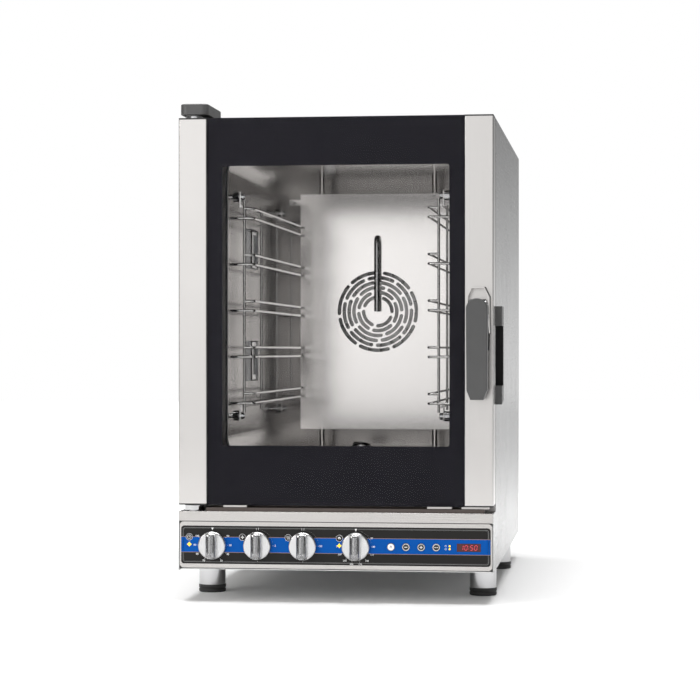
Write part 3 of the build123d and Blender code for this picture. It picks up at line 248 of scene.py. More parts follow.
def bright_steel(name, colour, rough, haze=0.10, marks_size=9.0, ripple=0.05):
    """Polished or bright annealed steel with a heat and water haze."""
    material, tree, shader = start_material(name, Metallic=1.0)
    marks = use_group(tree, SMUDGE, Size=marks_size, Sharpness=0.3)
    edges = use_group(tree, EDGE, Width=0.0006, Breaks=200.0, Amount=0.5)
    dull = tuple(channel * 0.95 for channel in colour)
    clouded = mix_colour(tree, marks.outputs["Mark"], colour, dull)
    worn = tuple(min(1.0, channel * 1.1) for channel in colour)
    tree.links.new(mix_colour(tree, edges.outputs["Wear"], clouded, worn), shader.inputs["Base Color"])
    base = spread(tree, marks.outputs["Mark"], rough, rough + haze)
    tree.links.new(base, shader.inputs["Roughness"])
    if ripple:
        bump(tree, shader, marks.outputs["Mark"], ripple, 0.0006)
    return material


def moulded(name, colour, rough, pebble=0.12, worn=0.5, scale=1800.0):
    """Moulded plastic or rubber with a fine texture and rubbed edges."""
    material, tree, shader = start_material(name)
    texture = use_group(tree, PEBBLE, Scale=scale)
    edges = use_group(tree, EDGE, Width=0.0010, Breaks=160.0, Amount=worn)
    light = tuple(min(1.0, channel * 1.18 + 0.004) for channel in colour)
    rubbed = tuple(min(1.0, channel * 1.9 + 0.02) for channel in colour)
    mottled = mix_colour(tree, texture.outputs["Mottle"], colour, light)
    tree.links.new(mix_colour(tree, edges.outputs["Wear"], mottled, rubbed), shader.inputs["Base Color"])
    tree.links.new(
        spread(tree, texture.outputs["Mottle"], rough - 0.06, rough + 0.08),
        shader.inputs["Roughness"],
    )
    bump(tree, shader, texture.outputs["Pebble"], pebble, 0.0003)
    return material


def pane(name, tint, cover, rough=0.02):
    """Thin clear glass: mostly open, with its gloss and a trace of wiping marks."""
    material, tree, shader = start_material(name, Alpha=cover, IOR=1.5)
    marks = use_group(tree, SMUDGE, Size=4.0, Sharpness=0.3)
    wiped = tuple(min(1.0, channel * 1.3) for channel in tint)
    tree.links.new(mix_colour(tree, marks.outputs["Mark"], tint, wiped), shader.inputs["Base Color"])
    tree.links.new(
        spread(tree, marks.outputs["Mark"], rough, rough + 0.05),
        shader.inputs["Roughness"],
    )
    return material


def printed(name, colour, rough=0.35, gloss=0.3):
    """Screen-printed ink: nearly even, with the press's faint mottle."""
    material, tree, shader = start_material(name)
    shader.inputs["Specular IOR Level"].default_value = gloss
    texture = use_group(tree, PEBBLE, Scale=2600.0)
    light = tuple(min(1.0, channel * 1.12 + 0.002) for channel in colour)
    tree.links.new(mix_colour(tree, texture.outputs["Mottle"], colour, light), shader.inputs["Base Color"])
    tree.links.new(
        spread(tree, texture.outputs["Mottle"], rough - 0.05, rough + 0.05),
        shader.inputs["Roughness"],
    )
    bump(tree, shader, texture.outputs["Pebble"], 0.04, 0.0001)
    return material


def lit(name, colour, glow, strength):
    """A glowing lens or display segment with a moulded surface."""
    material, tree, shader = start_material(name, Emission_Strength=strength, Roughness=0.3)
    shader.inputs["Emission Color"].default_value = (*glow, 1.0)
    texture = use_group(tree, PEBBLE, Scale=900.0)
    light = tuple(min(1.0, channel * 1.2) for channel in colour)
    tree.links.new(mix_colour(tree, texture.outputs["Mottle"], colour, light), shader.inputs["Base Color"])
    return material


def fibre(name, colour):
    """Mineral wool: loose tangled strands."""
    material, tree, shader = start_material(name, Roughness=0.95)
    strands = use_group(tree, GRAIN, Stretch=(160.0, 700.0, 420.0), Contrast=2.4)
    dark = tuple(channel * 0.55 for channel in colour)
    tree.links.new(mix_colour(tree, strands.outputs["Streak"], dark, colour), shader.inputs["Base Color"])
    bump(tree, shader, strands.outputs["Streak"], 0.6, 0.002)
    return material


FINISH = {
    "casing": brushed_steel("casing steel", (0.37, 0.37, 0.37), "y", 0.22),
    "casing_front": brushed_steel("sill steel", (0.44, 0.425, 0.412), "x", 0.22),
    "profile": brushed_steel("door profile steel", (0.53, 0.515, 0.503), "z", 0.18, grain=0.04),
    "plain_sheet": brushed_steel("plain sheet", (0.60, 0.60, 0.595), "x", 0.34, grain=0.04),
    # painted shade: the inner sheet is darker than the plain sheet of the same steel, and the tray steel's
    # near-black brown stands in for the shadow in the gap above the sill
    "inner_sheet": brushed_steel("inner sheet painted shade", (0.40, 0.385, 0.375), "x", 0.30),
    "tray": brushed_steel("tray steel painted shade", (0.085, 0.072, 0.066), "x", 0.35),
    # cavity liner and baffle are one steel: the baffle's near-white base is a painted highlight and the
    # cavity's darker base is painted shade
    "cavity": bright_steel("cavity steel painted shade", (0.42, 0.40, 0.385), 0.17, 0.03, marks_size=1.2, ripple=0.0),
    "baffle": bright_steel("baffle steel painted highlight", (0.98, 0.95, 0.93), 0.15, 0.02, marks_size=1.2, ripple=0.0),
    "wire": bright_steel("electropolished wire", (0.50, 0.49, 0.48), 0.06, haze=0.04),
    "polished": bright_steel("polished steel", (0.48, 0.48, 0.485), 0.05, haze=0.04, ripple=0.01),
    "fan": brushed_steel("fan steel", (0.85, 0.84, 0.83), "z", 0.42),
    "heater": moulded("heater oxide", (0.05, 0.045, 0.04), 0.55, worn=0.2),
    "tube": brushed_steel("drawn tube", (0.66, 0.66, 0.66), "y", 0.28),
    "outer_pane": pane("outer pane", (0.006, 0.006, 0.007), 0.06),
    "inner_pane": pane("inner pane", (0.008, 0.009, 0.009), 0.04),
    "frit": printed("black enamel", (0.010, 0.0095, 0.013), 0.30, gloss=0.04),
    "film": printed("black film", (0.012, 0.0115, 0.011), 0.32, gloss=0.13),
    "knob": brushed_steel("knob silver", (0.52, 0.52, 0.525), "z", 0.24, grain=0.03),
    "button": moulded("button black", (0.012, 0.012, 0.012), 0.30, worn=0.3),
    "display": printed("display filter", (0.075, 0.026, 0.028), 0.2, gloss=0.15),
    "amber": lit("amber lens", (0.75, 0.55, 0.04), (1.0, 0.70, 0.03), 0.75),
    "board": printed("circuit board", (0.01, 0.09, 0.03), 0.35),
    "switch": moulded("switch plastic", (0.62, 0.61, 0.56), 0.45),
    "motor": moulded("motor enamel", (0.03, 0.03, 0.035), 0.35),
    "nylon": moulded("glass-filled nylon", (0.55, 0.55, 0.52), 0.5),
    "gland": moulded("gland nylon", (0.10, 0.105, 0.11), 0.45),
    "grey": moulded("grey plastic", (0.046, 0.046, 0.046), 0.42, pebble=0.18),
    "dark": moulded("black plastic", (0.012, 0.012, 0.012), 0.45),
    # near-black matte used as painted shade: the strip under the sill and the lining of the keeper's pocket
    "pocket": moulded("painted shade black", (0.0005, 0.0005, 0.0005), 0.95, pebble=0.2, worn=0.02),
    "silicone": moulded("seal silicone", (0.008, 0.008, 0.008), 0.55, pebble=0.3, worn=0.1),
    "rubber": moulded("foot rubber", (0.018, 0.018, 0.018), 0.6, pebble=0.35, worn=0.2),
    "wool": fibre("mineral wool", (0.55, 0.50, 0.30)),
    "lamp_glass": pane("lamp glass", (0.10, 0.16, 0.20), 0.55, rough=0.08),
    "lamp_body": brushed_steel("lamp body", (0.55, 0.55, 0.55), "z", 0.30),
}
NODE_FINISH = {
    "casing": ("left_side_panel", "right_side_panel", "top_panel"),
    "casing_front": ("front_sill", "control_fascia"),
    "profile": ("hinge_side_profile", "handle_side_profile", "handle_bracket"),
    "plain_sheet": ("back_panel", "bottom_panel"),
    "inner_sheet": ("front_frame", "door_inner_frame"),
    "tray": ("drip_tray",),
    "cavity": ("cavity_liner",),
    "baffle": ("baffle",),
    "wire": ("left_rack", "right_rack"),
    "polished": (
        "rack_studs",
        "drain_strainer",
        "steam_pipe",
        "lamp_bezels",
        "handle_pin",
        "hinge_pins",
        "foot_tubes",
        "back_screws",
        "fan_shaft",
        "latch_tongue",
    ),
    "fan": ("fan_wheel",),
    "heater": ("heating_element",),
    "tube": ("drain_pipe", "exhaust_pipe"),
    "outer_pane": ("outer_glass",),
    "inner_pane": ("inner_glass",),
    "frit": ("frit_border",),
    "film": ("control_overlay",),
    "knob": ("timer_knob", "fan_knob", "humidity_knob", "temperature_knob"),
    "button": ("button_1", "button_2", "button_3", "button_4"),
    "display": ("display_window",),
    "amber": ("indicator_lamps",),
    "board": ("control_board",),
    "switch": ("switch_units",),
    "motor": ("fan_motor",),
    "nylon": ("water_valve",),
    "gland": ("cable_gland",),
    "grey": ("handle_lever", "latch_keeper", "hinge_bracket"),
    "dark": ("profile_caps", "door_switch"),
    "silicone": ("door_gasket",),
    "rubber": ("foot_pads",),
    "wool": ("insulation",),
    "lamp_glass": ("lamp_lenses",),
    "lamp_body": ("lamp_housings",),
}
for finish, names in NODE_FINISH.items():
    for name in names:
        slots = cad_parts[name].material_slots
        for material_slot in slots:
            material_slot.material = FINISH[finish]


# ------------------------------------------------------------------ mesh helpers
def finish_piece(name, mesh, body, material, smooth=False):
    """Link a mesh as a piece that rides on a body and takes a finish."""
    data = bpy.data.meshes.new(name)
    mesh.to_mesh(data)
    mesh.free()
    if smooth:
        data.shade_smooth()
    data.materials.append(material)
    piece = bpy.data.objects.new(name, data)
    bpy.context.scene.collection.objects.link(piece)
    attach(piece, body)
    return piece


def add_curve_shape(mesh, data, place):
    """Turn a flat curve, drawn in X and Z, into mesh faces moved to a place."""
    drawn = bpy.data.objects.new("drawn", data)
    flat = bpy.data.meshes.new_from_object(drawn)
    flat.transform(Matrix.Translation(place) @ Matrix.Rotation(math.pi / 2, 4, "X"))
    mesh.from_mesh(flat)
    bpy.data.objects.remove(drawn)
    bpy.data.curves.remove(data)
    bpy.data.meshes.remove(flat)


def add_outline(mesh, loops, y):
    """A printed area: the first loop is its edge and the others are holes."""
    data = bpy.data.curves.new("outline", "CURVE")
    data.dimensions = "2D"
    data.fill_mode = "BOTH"
    data.extrude = INK / 2
    for loop in loops:
        spline = data.splines.new("POLY")
        spline.points.add(len(loop) - 1)
        for point, (x, z) in zip(spline.points, loop):
            point.co = (x, z, 0.0, 1.0)
        spline.use_cyclic_u = True
    add_curve_shape(mesh, data, (0.0, y, 0.0))


NUMBER_BOLDER = 0.06 * MM


def add_number(mesh, text, x, z, size, y):
    """A printed number, centred on a point."""
    data = bpy.data.curves.new("number", "FONT")
    data.body = text
    data.size = size
    data.align_x = "CENTER"
    data.align_y = "CENTER"
    data.offset = NUMBER_BOLDER
    data.extrude = INK / 2
    add_curve_shape(mesh, data, (x, y, z))


def ring(x, z, radius, steps=40):
    """Points of a circle."""
    turns = [2 * math.pi * step / steps for step in range(steps)]
    return [(x + radius * math.cos(turn), z + radius * math.sin(turn)) for turn in turns]


def rectangle(x0, x1, z0, z1):
    """Corners of a rectangle."""
    return [(x0, z0), (x1, z0), (x1, z1), (x0, z1)]


def bar(width, height, x=0.0, z=0.0):
    """Corners of a rectangle around a point."""
    return rectangle(x - width / 2, x + width / 2, z - height / 2, z + height / 2)


def rounded(x0, x1, z0, z1, radius, steps=8):
    """A rectangle with round corners."""
    points = []
    corners = ((x1, z1, 0), (x0, z1, 1), (x0, z0, 2), (x1, z0, 3))
    for x, z, quarter in corners:
        middle_x = x - radius if x == x1 else x + radius
        middle_z = z - radius if z == z1 else z + radius
        for step in range(steps + 1):
            turn = math.pi / 2 * (quarter + step / steps)
            points.append((middle_x + radius * math.cos(turn), middle_z + radius * math.sin(turn)))
    return points


def turned_point(x, z, radius, clock):
    """A point around a centre, with the angle in degrees clockwise from the top."""
    turn = math.radians(clock)
    return x + radius * math.sin(turn), z + radius * math.cos(turn)


def tick(x, z, near, far, clock, width):
    """A short radial line of a scale."""
    turn = math.radians(clock)
    across = (math.cos(turn) * width / 2, -math.sin(turn) * width / 2)
    low, high = turned_point(x, z, near, clock), turned_point(x, z, far, clock)
    return [
        (low[0] - across[0], low[1] - across[1]),
        (low[0] + across[0], low[1] + across[1]),
        (high[0] + across[0], high[1] + across[1]),
        (high[0] - across[0], high[1] - across[1]),
    ]


# ------------------------------------------------------------------ control panel print
INK = 0.03 * MM
overlay_low, overlay_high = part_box("control_overlay")
INK_Y = overlay_low[1] - INK
MARK_Y = INK_Y - INK * 1.5
ICON_Y = MARK_Y - INK * 1.5
BAND_LOW = 19.0 * MM  # above the overlay's lower edge
BAND_HIGH = 44.3 * MM
CLEAR = 0.4 * MM
BORDER_IN = 2.9 * MM
BORDER_LINE = 0.55 * MM
BORDER_STEP = 1.3 * MM  # to the fine inner line
BORDER_ROUND = 4.0 * MM
BAND_IN = 0.3 * MM
EDGE_LINE = 0.6 * MM
BUTTON_HOLE = 6.6 * MM
SHAFT_HOLE = 5.0 * MM

FINISH["ink_blue"] = printed("blue ink", (0.0005, 0.072, 0.33), 0.36, gloss=0.06)
FINISH["ink_orange"] = printed("pale edge ink", (0.34, 0.22, 0.15), 0.4)
FINISH["ink_grey"] = printed("grey ink", (0.20, 0.20, 0.20), 0.4)
FINISH["ink_white"] = printed("white ink", (0.78, 0.78, 0.78), 0.45)
FINISH["ink_black"] = printed("black ink", (0.012, 0.012, 0.012), 0.35)
FINISH["segment"] = lit("lit segment", (0.35, 0.02, 0.04), (1.0, 0.05, 0.10), 0.55)
FINISH["knob_face"] = bright_steel(
    "knob grip steel", (0.46, 0.46, 0.465), 0.09, haze=0.03, marks_size=3.0, ripple=0.01
)


def middle(name):
    """Centre of a CAD node's box."""
    low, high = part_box(name)
    return [(a + b) / 2 for a, b in zip(low, high)]


KNOBS = {key: middle(f"{key}_knob") for key in ("timer", "fan", "humidity", "temperature")}
BUTTONS = {number: middle(f"button_{number}") for number in range(1, 5)}
controls_z = KNOBS["timer"][2]
knob_low, knob_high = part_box("timer_knob")
KNOB_RADIUS = (knob_high[0] - knob_low[0]) / 2
lamps_low, lamps_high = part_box("indicator_lamps")
display_low, display_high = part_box("display_window")
LAMP_RADIUS = 1.6 * MM
FIRST_LAMP = (lamps_low[0] + LAMP_RADIUS, controls_z + 1.2 * MM)
SECOND_LAMP = (FIRST_LAMP[0] + 249.6 * MM, FIRST_LAMP[1])
PAIR_X = lamps_high[0] - LAMP_RADIUS
PAIR = ((PAIR_X, controls_z + 2.4 * MM), (PAIR_X, controls_z - 2.4 * MM))
ICON_UP = 12.2 * MM
ICON_RADIUS = 5.6 * MM
ICON_LINE = 0.38 * MM
PAIR_RING_LEFT = 6.4 * MM  # small rings beside the pair of lamps
ICONS = [
    (FIRST_LAMP[0], "clock"),
    (KNOBS["fan"][0] - 24.9 * MM, "fan"),
    (KNOBS["humidity"][0] - 24.4 * MM, "steam"),
    (SECOND_LAMP[0], "heat"),
]


def print_band():
    """The blue band behind the controls, its pale edges and the border line."""
    x0, x1 = overlay_low[0] + BAND_IN, overlay_high[0] - BAND_IN
    z0, z1 = overlay_low[2] + BAND_LOW, overlay_low[2] + BAND_HIGH
    holes = [ring(x, z, LAMP_RADIUS + CLEAR / 4, 20) for x, z in (FIRST_LAMP, SECOND_LAMP, *PAIR)]
    holes += [ring(place[0], place[2], BUTTON_HOLE) for place in BUTTONS.values()]
    holes += [ring(place[0], place[2], SHAFT_HOLE) for place in KNOBS.values()]
    display = (display_low[0] - CLEAR, display_high[0] + CLEAR)
    holes.append(rectangle(*display, display_low[2] - CLEAR, display_high[2] + CLEAR))
    mesh = bmesh.new()
    add_outline(mesh, [rectangle(x0, x1, z0, z1), *holes], INK_Y)
    finish_piece("panel_print_band", mesh, "chassis", FINISH["ink_blue"])

    mesh = bmesh.new()
    for z in (z0, z1):
        add_outline(mesh, [bar(x1 - x0, EDGE_LINE, (x0 + x1) / 2, z)], MARK_Y)
    finish_piece("panel_print_band_edges", mesh, "chassis", FINISH["ink_orange"])

    mesh = bmesh.new()
    for inset in (BORDER_IN, BORDER_IN + BORDER_STEP):
        edge = [overlay_low[0] + inset, overlay_high[0] - inset]
        edge += [overlay_low[2] + inset, overlay_high[2] - inset]
        line = BORDER_LINE if inset == BORDER_IN else BORDER_LINE / 3
        inner = [edge[0] + line, edge[1] - line, edge[2] + line, edge[3] - line]
        loops = [rounded(*edge, BORDER_ROUND), rounded(*inner, BORDER_ROUND - line)]
        add_outline(mesh, loops, INK_Y)
    finish_piece("panel_print_border", mesh, "chassis", FINISH["ink_grey"])


SCALE_NEAR = KNOB_RADIUS + 2.2 * MM
SCALE_FAR = KNOB_RADIUS + 3.6 * MM
SCALE_TEXT = KNOB_RADIUS + 6.6 * MM
SCALE_DOTS = KNOB_RADIUS + 3.2 * MM
DOT_RADIUS = 0.22 * MM
POINTER_WIDTH, POINTER_HEIGHT = 4.0 * MM, 4.2 * MM
ZERO_SPREAD, ZERO_DOWN = 3.6 * MM, 1.5 * MM  # the two strokes over a knob that starts at zero
ZERO_WIDTH, ZERO_HEIGHT = 0.5 * MM, 3.8 * MM


def add_scale(mesh, place, labels, size):
    """Ticks and numbers around a knob: labels maps a clock angle to a number."""
    for clock, text in labels.items():
        loop = tick(place[0], place[2], SCALE_NEAR, SCALE_FAR, clock, 0.45 * MM)
        add_outline(mesh, [loop], MARK_Y)
        x, z = turned_point(place[0], place[2], SCALE_TEXT, clock)
        if text:
            add_number(mesh, text, x, z, size, MARK_Y)


def print_scales():
    """White ticks, numbers, dots and pointers around the knobs."""
    mesh = bmesh.new()
    minutes = {30 * step: str(10 * step) for step in range(2, 11) if step != 6}
    add_scale(mesh, KNOBS["timer"], minutes, 4.4 * MM)
    degrees = {62: "50", 90: "80", 116: "110", 142: "140", 166: "170", 194: "200"}
    degrees.update({218: "230", 244: "250", 270: "270"})
    add_scale(mesh, KNOBS["temperature"], degrees, 3.9 * MM)
    add_scale(mesh, KNOBS["fan"], {90: "2", 180: ""}, 4.4 * MM)
    add_scale(mesh, KNOBS["humidity"], {90: "50", 180: ""}, 4.2 * MM)
    for key, place in KNOBS.items():
        for step in range(10):
            dot = turned_point(place[0], place[2], SCALE_DOTS, 12 + 7 * step)
            if key != "timer":
                add_outline(mesh, [ring(*dot, DOT_RADIUS, 8)], MARK_Y)
        top = overlay_high[2] - BORDER_IN
        if key in ("timer", "temperature"):
            left, right = place[0] - POINTER_WIDTH / 2, place[0] + POINTER_WIDTH / 2
            add_outline(mesh, [[(left, top), (place[0], top - POINTER_HEIGHT), (right, top)]], MARK_Y)
        else:
            for side in (-1, 1):
                x = place[0] + side * ZERO_SPREAD / 2
                line = bar(ZERO_WIDTH, ZERO_HEIGHT, x, top - ZERO_DOWN)
                add_outline(mesh, [line], MARK_Y)
    finish_piece("panel_print_scales", mesh, "chassis", FINISH["ink_white"])


def icon_shapes(kind, x, z):
    """White drawing inside a round icon."""
    if kind == "clock":
        hands = [tick(x, z, 0.0, 2.4 * MM, clock, 0.5 * MM) for clock in (0, 110)]
        return [[ring(x, z, 3.4 * MM), ring(x, z, 2.9 * MM)], *[[hand] for hand in hands]]
    if kind == "fan":
        blades = []
        for clock in range(0, 360, 90):
            hub = turned_point(x, z, 1.8 * MM, clock)
            blades.append([[turned_point(*hub, 0.9 * MM, turn) for turn in range(0, 360, 45)]])
        return [*blades, [ring(x, z, 0.7 * MM, 12)]]
    if kind == "steam":
        columns = []
        for shift in (-1.8, 0.0, 1.8):
            left = []
            for part in range(10):
                wave = part * 0.7
                sway = 0.5 * MM * math.sin(wave)
                left.append((x + shift * MM + sway, z + (wave - 3.2) * 0.9 * MM))
            right = [(px + 0.55 * MM, pz) for px, pz in reversed(left)]
            columns.append([left + right])
        return columns
    flame = []
    for turn in range(0, 360, 20):
        reach = (2.6 + 0.8 * math.cos(math.radians(turn))) * 0.8 * MM
        flame.append(turned_point(x, z - 0.6 * MM, reach, turn))
    return [[flame, ring(x, z - 0.9 * MM, 1.1 * MM, 16)]]


def print_icons():
    """Round icons at the left of the knobs: black discs with white rings and drawings."""
    discs, drawings = bmesh.new(), bmesh.new()
    for x, kind in ICONS:
        z = FIRST_LAMP[1] + ICON_UP
        add_outline(discs, [ring(x, z, ICON_RADIUS)], MARK_Y)
        add_outline(drawings, [ring(x, z, ICON_RADIUS), ring(x, z, ICON_RADIUS - ICON_LINE)], ICON_Y)
        for loops in icon_shapes(kind, x, z):
            add_outline(drawings, loops, ICON_Y)
    for x, z in PAIR:
        left = x - PAIR_RING_LEFT
        add_outline(drawings, [ring(left, z, 1.5 * MM, 20), ring(left, z, 1.1 * MM, 20)], ICON_Y)
    finish_piece("panel_print_icon_discs", discs, "chassis", FINISH["ink_black"])
    finish_piece("panel_print_icons", drawings, "chassis", FINISH["ink_white"])


DOME_RISE = 0.45 * MM
PAIR_RADIUS, PAIR_RISE = 1.2 * MM, 0.35 * MM
STAR_FAR, STAR_NEAR = 4.2 * MM, 2.3 * MM


def make_lamp_lenses():
    """Yellow lenses that stand a little proud of the overlay, the large two with a star."""
    mesh = bmesh.new()
    for x, z in (FIRST_LAMP, SECOND_LAMP):
        add_dome(mesh, x, overlay_low[1], z, LAMP_RADIUS, DOME_RISE)
    for x, z in PAIR:
        add_dome(mesh, x, overlay_low[1], z, PAIR_RADIUS, PAIR_RISE)
    for x, z in (FIRST_LAMP, SECOND_LAMP):
        star = []
        for point in range(8):
            reach = STAR_FAR if point % 2 == 0 else STAR_NEAR
            star.append(turned_point(x, z, reach, 45 * point))
        add_outline(mesh, [star, ring(x, z, LAMP_RADIUS)], MARK_Y)
    finish_piece("indicator_lenses", mesh, "chassis", FINISH["amber"], True)


def add_dome(mesh, x, y, z, radius, height, rings=5, steps=24):
    """A shallow dome that faces -Y."""
    rows = []
    for level in range(rings):
        tilt = math.pi / 2 * level / rings
        row = []
        for step in range(steps):
            turn = 2 * math.pi * step / steps
            reach = radius * math.cos(tilt)
            place = (x + reach * math.cos(turn), y - height * math.sin(tilt), z + reach * math.sin(turn))
            row.append(mesh.verts.new(place))
        rows.append(row)
    tip = mesh.verts.new((x, y - height, z))
    for low, high in zip(rows, rows[1:]):
        for step in range(steps):
            after = (step + 1) % steps
            mesh.faces.new((low[step], low[after], high[after], high[step]))
    for step in range(steps):
        mesh.faces.new((rows[-1][step], rows[-1][(step + 1) % steps], tip))
    mesh.faces.new(list(reversed(rows[0])))


SEGMENTS = {"0": "abcdef", "1": "bc", "5": "acdfg"}
DIGIT_WIDTH, DIGIT_HEIGHT = 4.0 * MM, 7.6 * MM
SEGMENT_WIDTH, DIGIT_LEAN = 0.85 * MM, 0.12
DIGIT_NEAR, DIGIT_FAR = 4.6 * MM, 11.4 * MM  # from the display's middle
COLON_SPREAD, COLON_DOT = 3.4 * MM, 0.5 * MM


def digit_loops(text, x, z):
    """Seven-segment bars of one digit, leaning a little to the right."""
    w, h, t = DIGIT_WIDTH / 2, DIGIT_HEIGHT / 2, SEGMENT_WIDTH / 2
    gap = t * 1.3
    bars = {
        "a": (-w + gap, w - gap, h - t, h + t),
        "g": (-w + gap, w - gap, -t, t),
        "d": (-w + gap, w - gap, -h - t, -h + t),
        "f": (-w - t, -w + t, gap, h - gap),
        "b": (w - t, w + t, gap, h - gap),
        "e": (-w - t, -w + t, -h + gap, -gap),
        "c": (w - t, w + t, -h + gap, -gap),
    }
    loops = []
    for letter in SEGMENTS[text]:
        corners = rectangle(*bars[letter])
        loops.append([(x + px + pz * DIGIT_LEAN, z + pz) for px, pz in corners])
    return loops


def make_digits():
    """The lit figures of the display."""
    mesh = bmesh.new()
    middle_x = (display_low[0] + display_high[0]) / 2
    middle_z = (display_low[2] + display_high[2]) / 2
    y = display_low[1] - INK
    for place, text in zip((-DIGIT_FAR, -DIGIT_NEAR, DIGIT_NEAR, DIGIT_FAR), "1050"):
        for loop in digit_loops(text, middle_x + place, middle_z):
            add_outline(mesh, [loop], y)
    for way in (-1, 1):
        up = way * COLON_SPREAD / 2
        add_outline(mesh, [ring(middle_x + up * DIGIT_LEAN, middle_z + up, COLON_DOT, 12)], y)
    finish_piece("display_figures", mesh, "chassis", FINISH["segment"])


CAP_RADIUS = 5.5 * MM
RIM_OUTER, RIM_INNER = 5.6 * MM, 4.8 * MM


def print_buttons():
    """Rings and signs on the four buttons; the first has a white cap."""
    power_ring = [ring(0, 0, 1.6 * MM, 20), ring(0, 0, 1.1 * MM, 20)]
    dash = (2.6 * MM, 1.0 * MM)
    signs = {
        1: [power_ring, [bar(0.6 * MM, 2.0 * MM, z=1.6 * MM)]],
        2: [[bar(4.8 * MM, 1.2 * MM)]],
        3: [[bar(5.0 * MM, 1.2 * MM)], [bar(1.2 * MM, 5.0 * MM)]],
        4: [[bar(*dash, x=-1.7 * MM)], [bar(*dash, x=1.7 * MM)]],
    }
    for number, place in BUTTONS.items():
        x, z = place[0], place[2]
        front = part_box(f"button_{number}")[0][1] - INK
        mesh = bmesh.new()
        if number == 1:
            add_outline(mesh, [ring(x, z, CAP_RADIUS)], front)
            finish_piece("button_1_cap", mesh, "button_1", FINISH["ink_white"])
            mesh = bmesh.new()
            front -= INK * 1.5
        else:
            add_outline(mesh, [ring(x, z, RIM_OUTER), ring(x, z, RIM_INNER)], front)
        for loops in signs[number]:
            moved = [[(x + px, z + pz) for px, pz in loop] for loop in loops]
            add_outline(mesh, moved, front)
        ink = FINISH["ink_black" if number == 1 else "ink_white"]
        finish_piece(f"button_{number}_sign", mesh, f"button_{number}", ink)


# ------------------------------------------------------------------ knob grips
GRIP_WIDTH = 15.4 * MM
GRIP_HEIGHT = 41.0 * MM
GRIP_CROWN = 2.4 * MM
GRIP_LEAN = 3.4 * MM  # further out at the bottom
GRIP_WAIST = 0.08  # narrower at its ends by this share
GRIP_PROUD, GRIP_SHEET = 0.15 * MM, 0.35 * MM
GRIP_STEPS = 14


def make_knob_grip(key, place):
    """A crowned steel cover on the ridge of a knob, further out at the bottom than at the top."""
    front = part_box(f"{key}_knob")[0][1]
    mesh = bmesh.new()
    rows = []
    for row in range(GRIP_STEPS + 1):
        share = 2 * row / GRIP_STEPS - 1
        z = place[2] + share * GRIP_HEIGHT / 2
        line = []
        for step in range(GRIP_STEPS + 1):
            across = 2 * step / GRIP_STEPS - 1
            rise = GRIP_CROWN * (1 - across**2) + GRIP_LEAN * (1 - share) / 2
            crown = rise * ((1 - across**8) * (1 - share**8)) ** 0.5
            x = place[0] + across * GRIP_WIDTH / 2 * (1 - GRIP_WAIST * share**4)
            line.append(mesh.verts.new((x, front - GRIP_PROUD - crown, z)))
        rows.append(line)
    for low, high in zip(rows, rows[1:]):
        for step in range(GRIP_STEPS):
            mesh.faces.new((low[step], low[step + 1], high[step + 1], high[step]))
    bmesh.ops.solidify(mesh, geom=mesh.faces[:], thickness=GRIP_SHEET)
    bmesh.ops.recalc_face_normals(mesh, faces=mesh.faces[:])
    finish_piece(f"{key}_knob_grip", mesh, f"{key}_knob", FINISH["knob_face"], True)


# ------------------------------------------------------------------ seal and feet
SEAL_WIDTH = 10.0 * MM
SEAL_CORNER = 49.0 * MM  # outer corner of the seal
SEAL_STEPS = 20


def make_gasket():
    """The door seal: a hollow bulb with a fin, running round the cavity mouth."""
    low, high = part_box("door_gasket")
    depth = high[1] - low[1]
    middle_of_bulb = (low[1] + high[1]) / 2
    inset = SEAL_WIDTH / 2
    radius = SEAL_CORNER - inset
    path = rounded(low[0] + inset, high[0] - inset, low[2] + inset, high[2] - inset, radius, 14)
    section = []
    for step in range(SEAL_STEPS):
        turn = 2 * math.pi * step / SEAL_STEPS
        bulge = 0.92 + 0.06 * math.cos(3 * turn)
        section.append((SEAL_WIDTH * 0.40 * bulge * math.cos(turn), depth * 0.47 * math.sin(turn)))
    section.insert(0, (SEAL_WIDTH * 0.49, -depth * 0.10))
    mesh = bmesh.new()
    rows = []
    for index, (x, z) in enumerate(path):
        before, after = path[index - 1], path[(index + 1) % len(path)]
        along = Vector((after[0] - before[0], after[1] - before[1])).normalized()
        outward = (along[1], -along[0])
        row = []
        for out, deep in section:
            place = (x + outward[0] * out, middle_of_bulb + deep, z + outward[1] * out)
            row.append(mesh.verts.new(place))
        rows.append(row)
    for index, row in enumerate(rows):
        following = rows[(index + 1) % len(rows)]
        for step in range(len(section)):
            after = (step + 1) % len(section)
            mesh.faces.new((row[step], row[after], following[after], following[step]))
    bmesh.ops.recalc_face_normals(mesh, faces=mesh.faces[:])
    seal = finish_piece("door_seal", mesh, "chassis", FINISH["silicone"], True)
    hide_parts("door_gasket")


PAD_RADIUS = 23.2 * MM
FOOT_MIDDLE = 0.001 * MM  # a tiny ring, so the faces at the axis stay open quads
TREAD = 0.9 * MM  # depth of the grooves underneath
FOOT_STEPS = 48


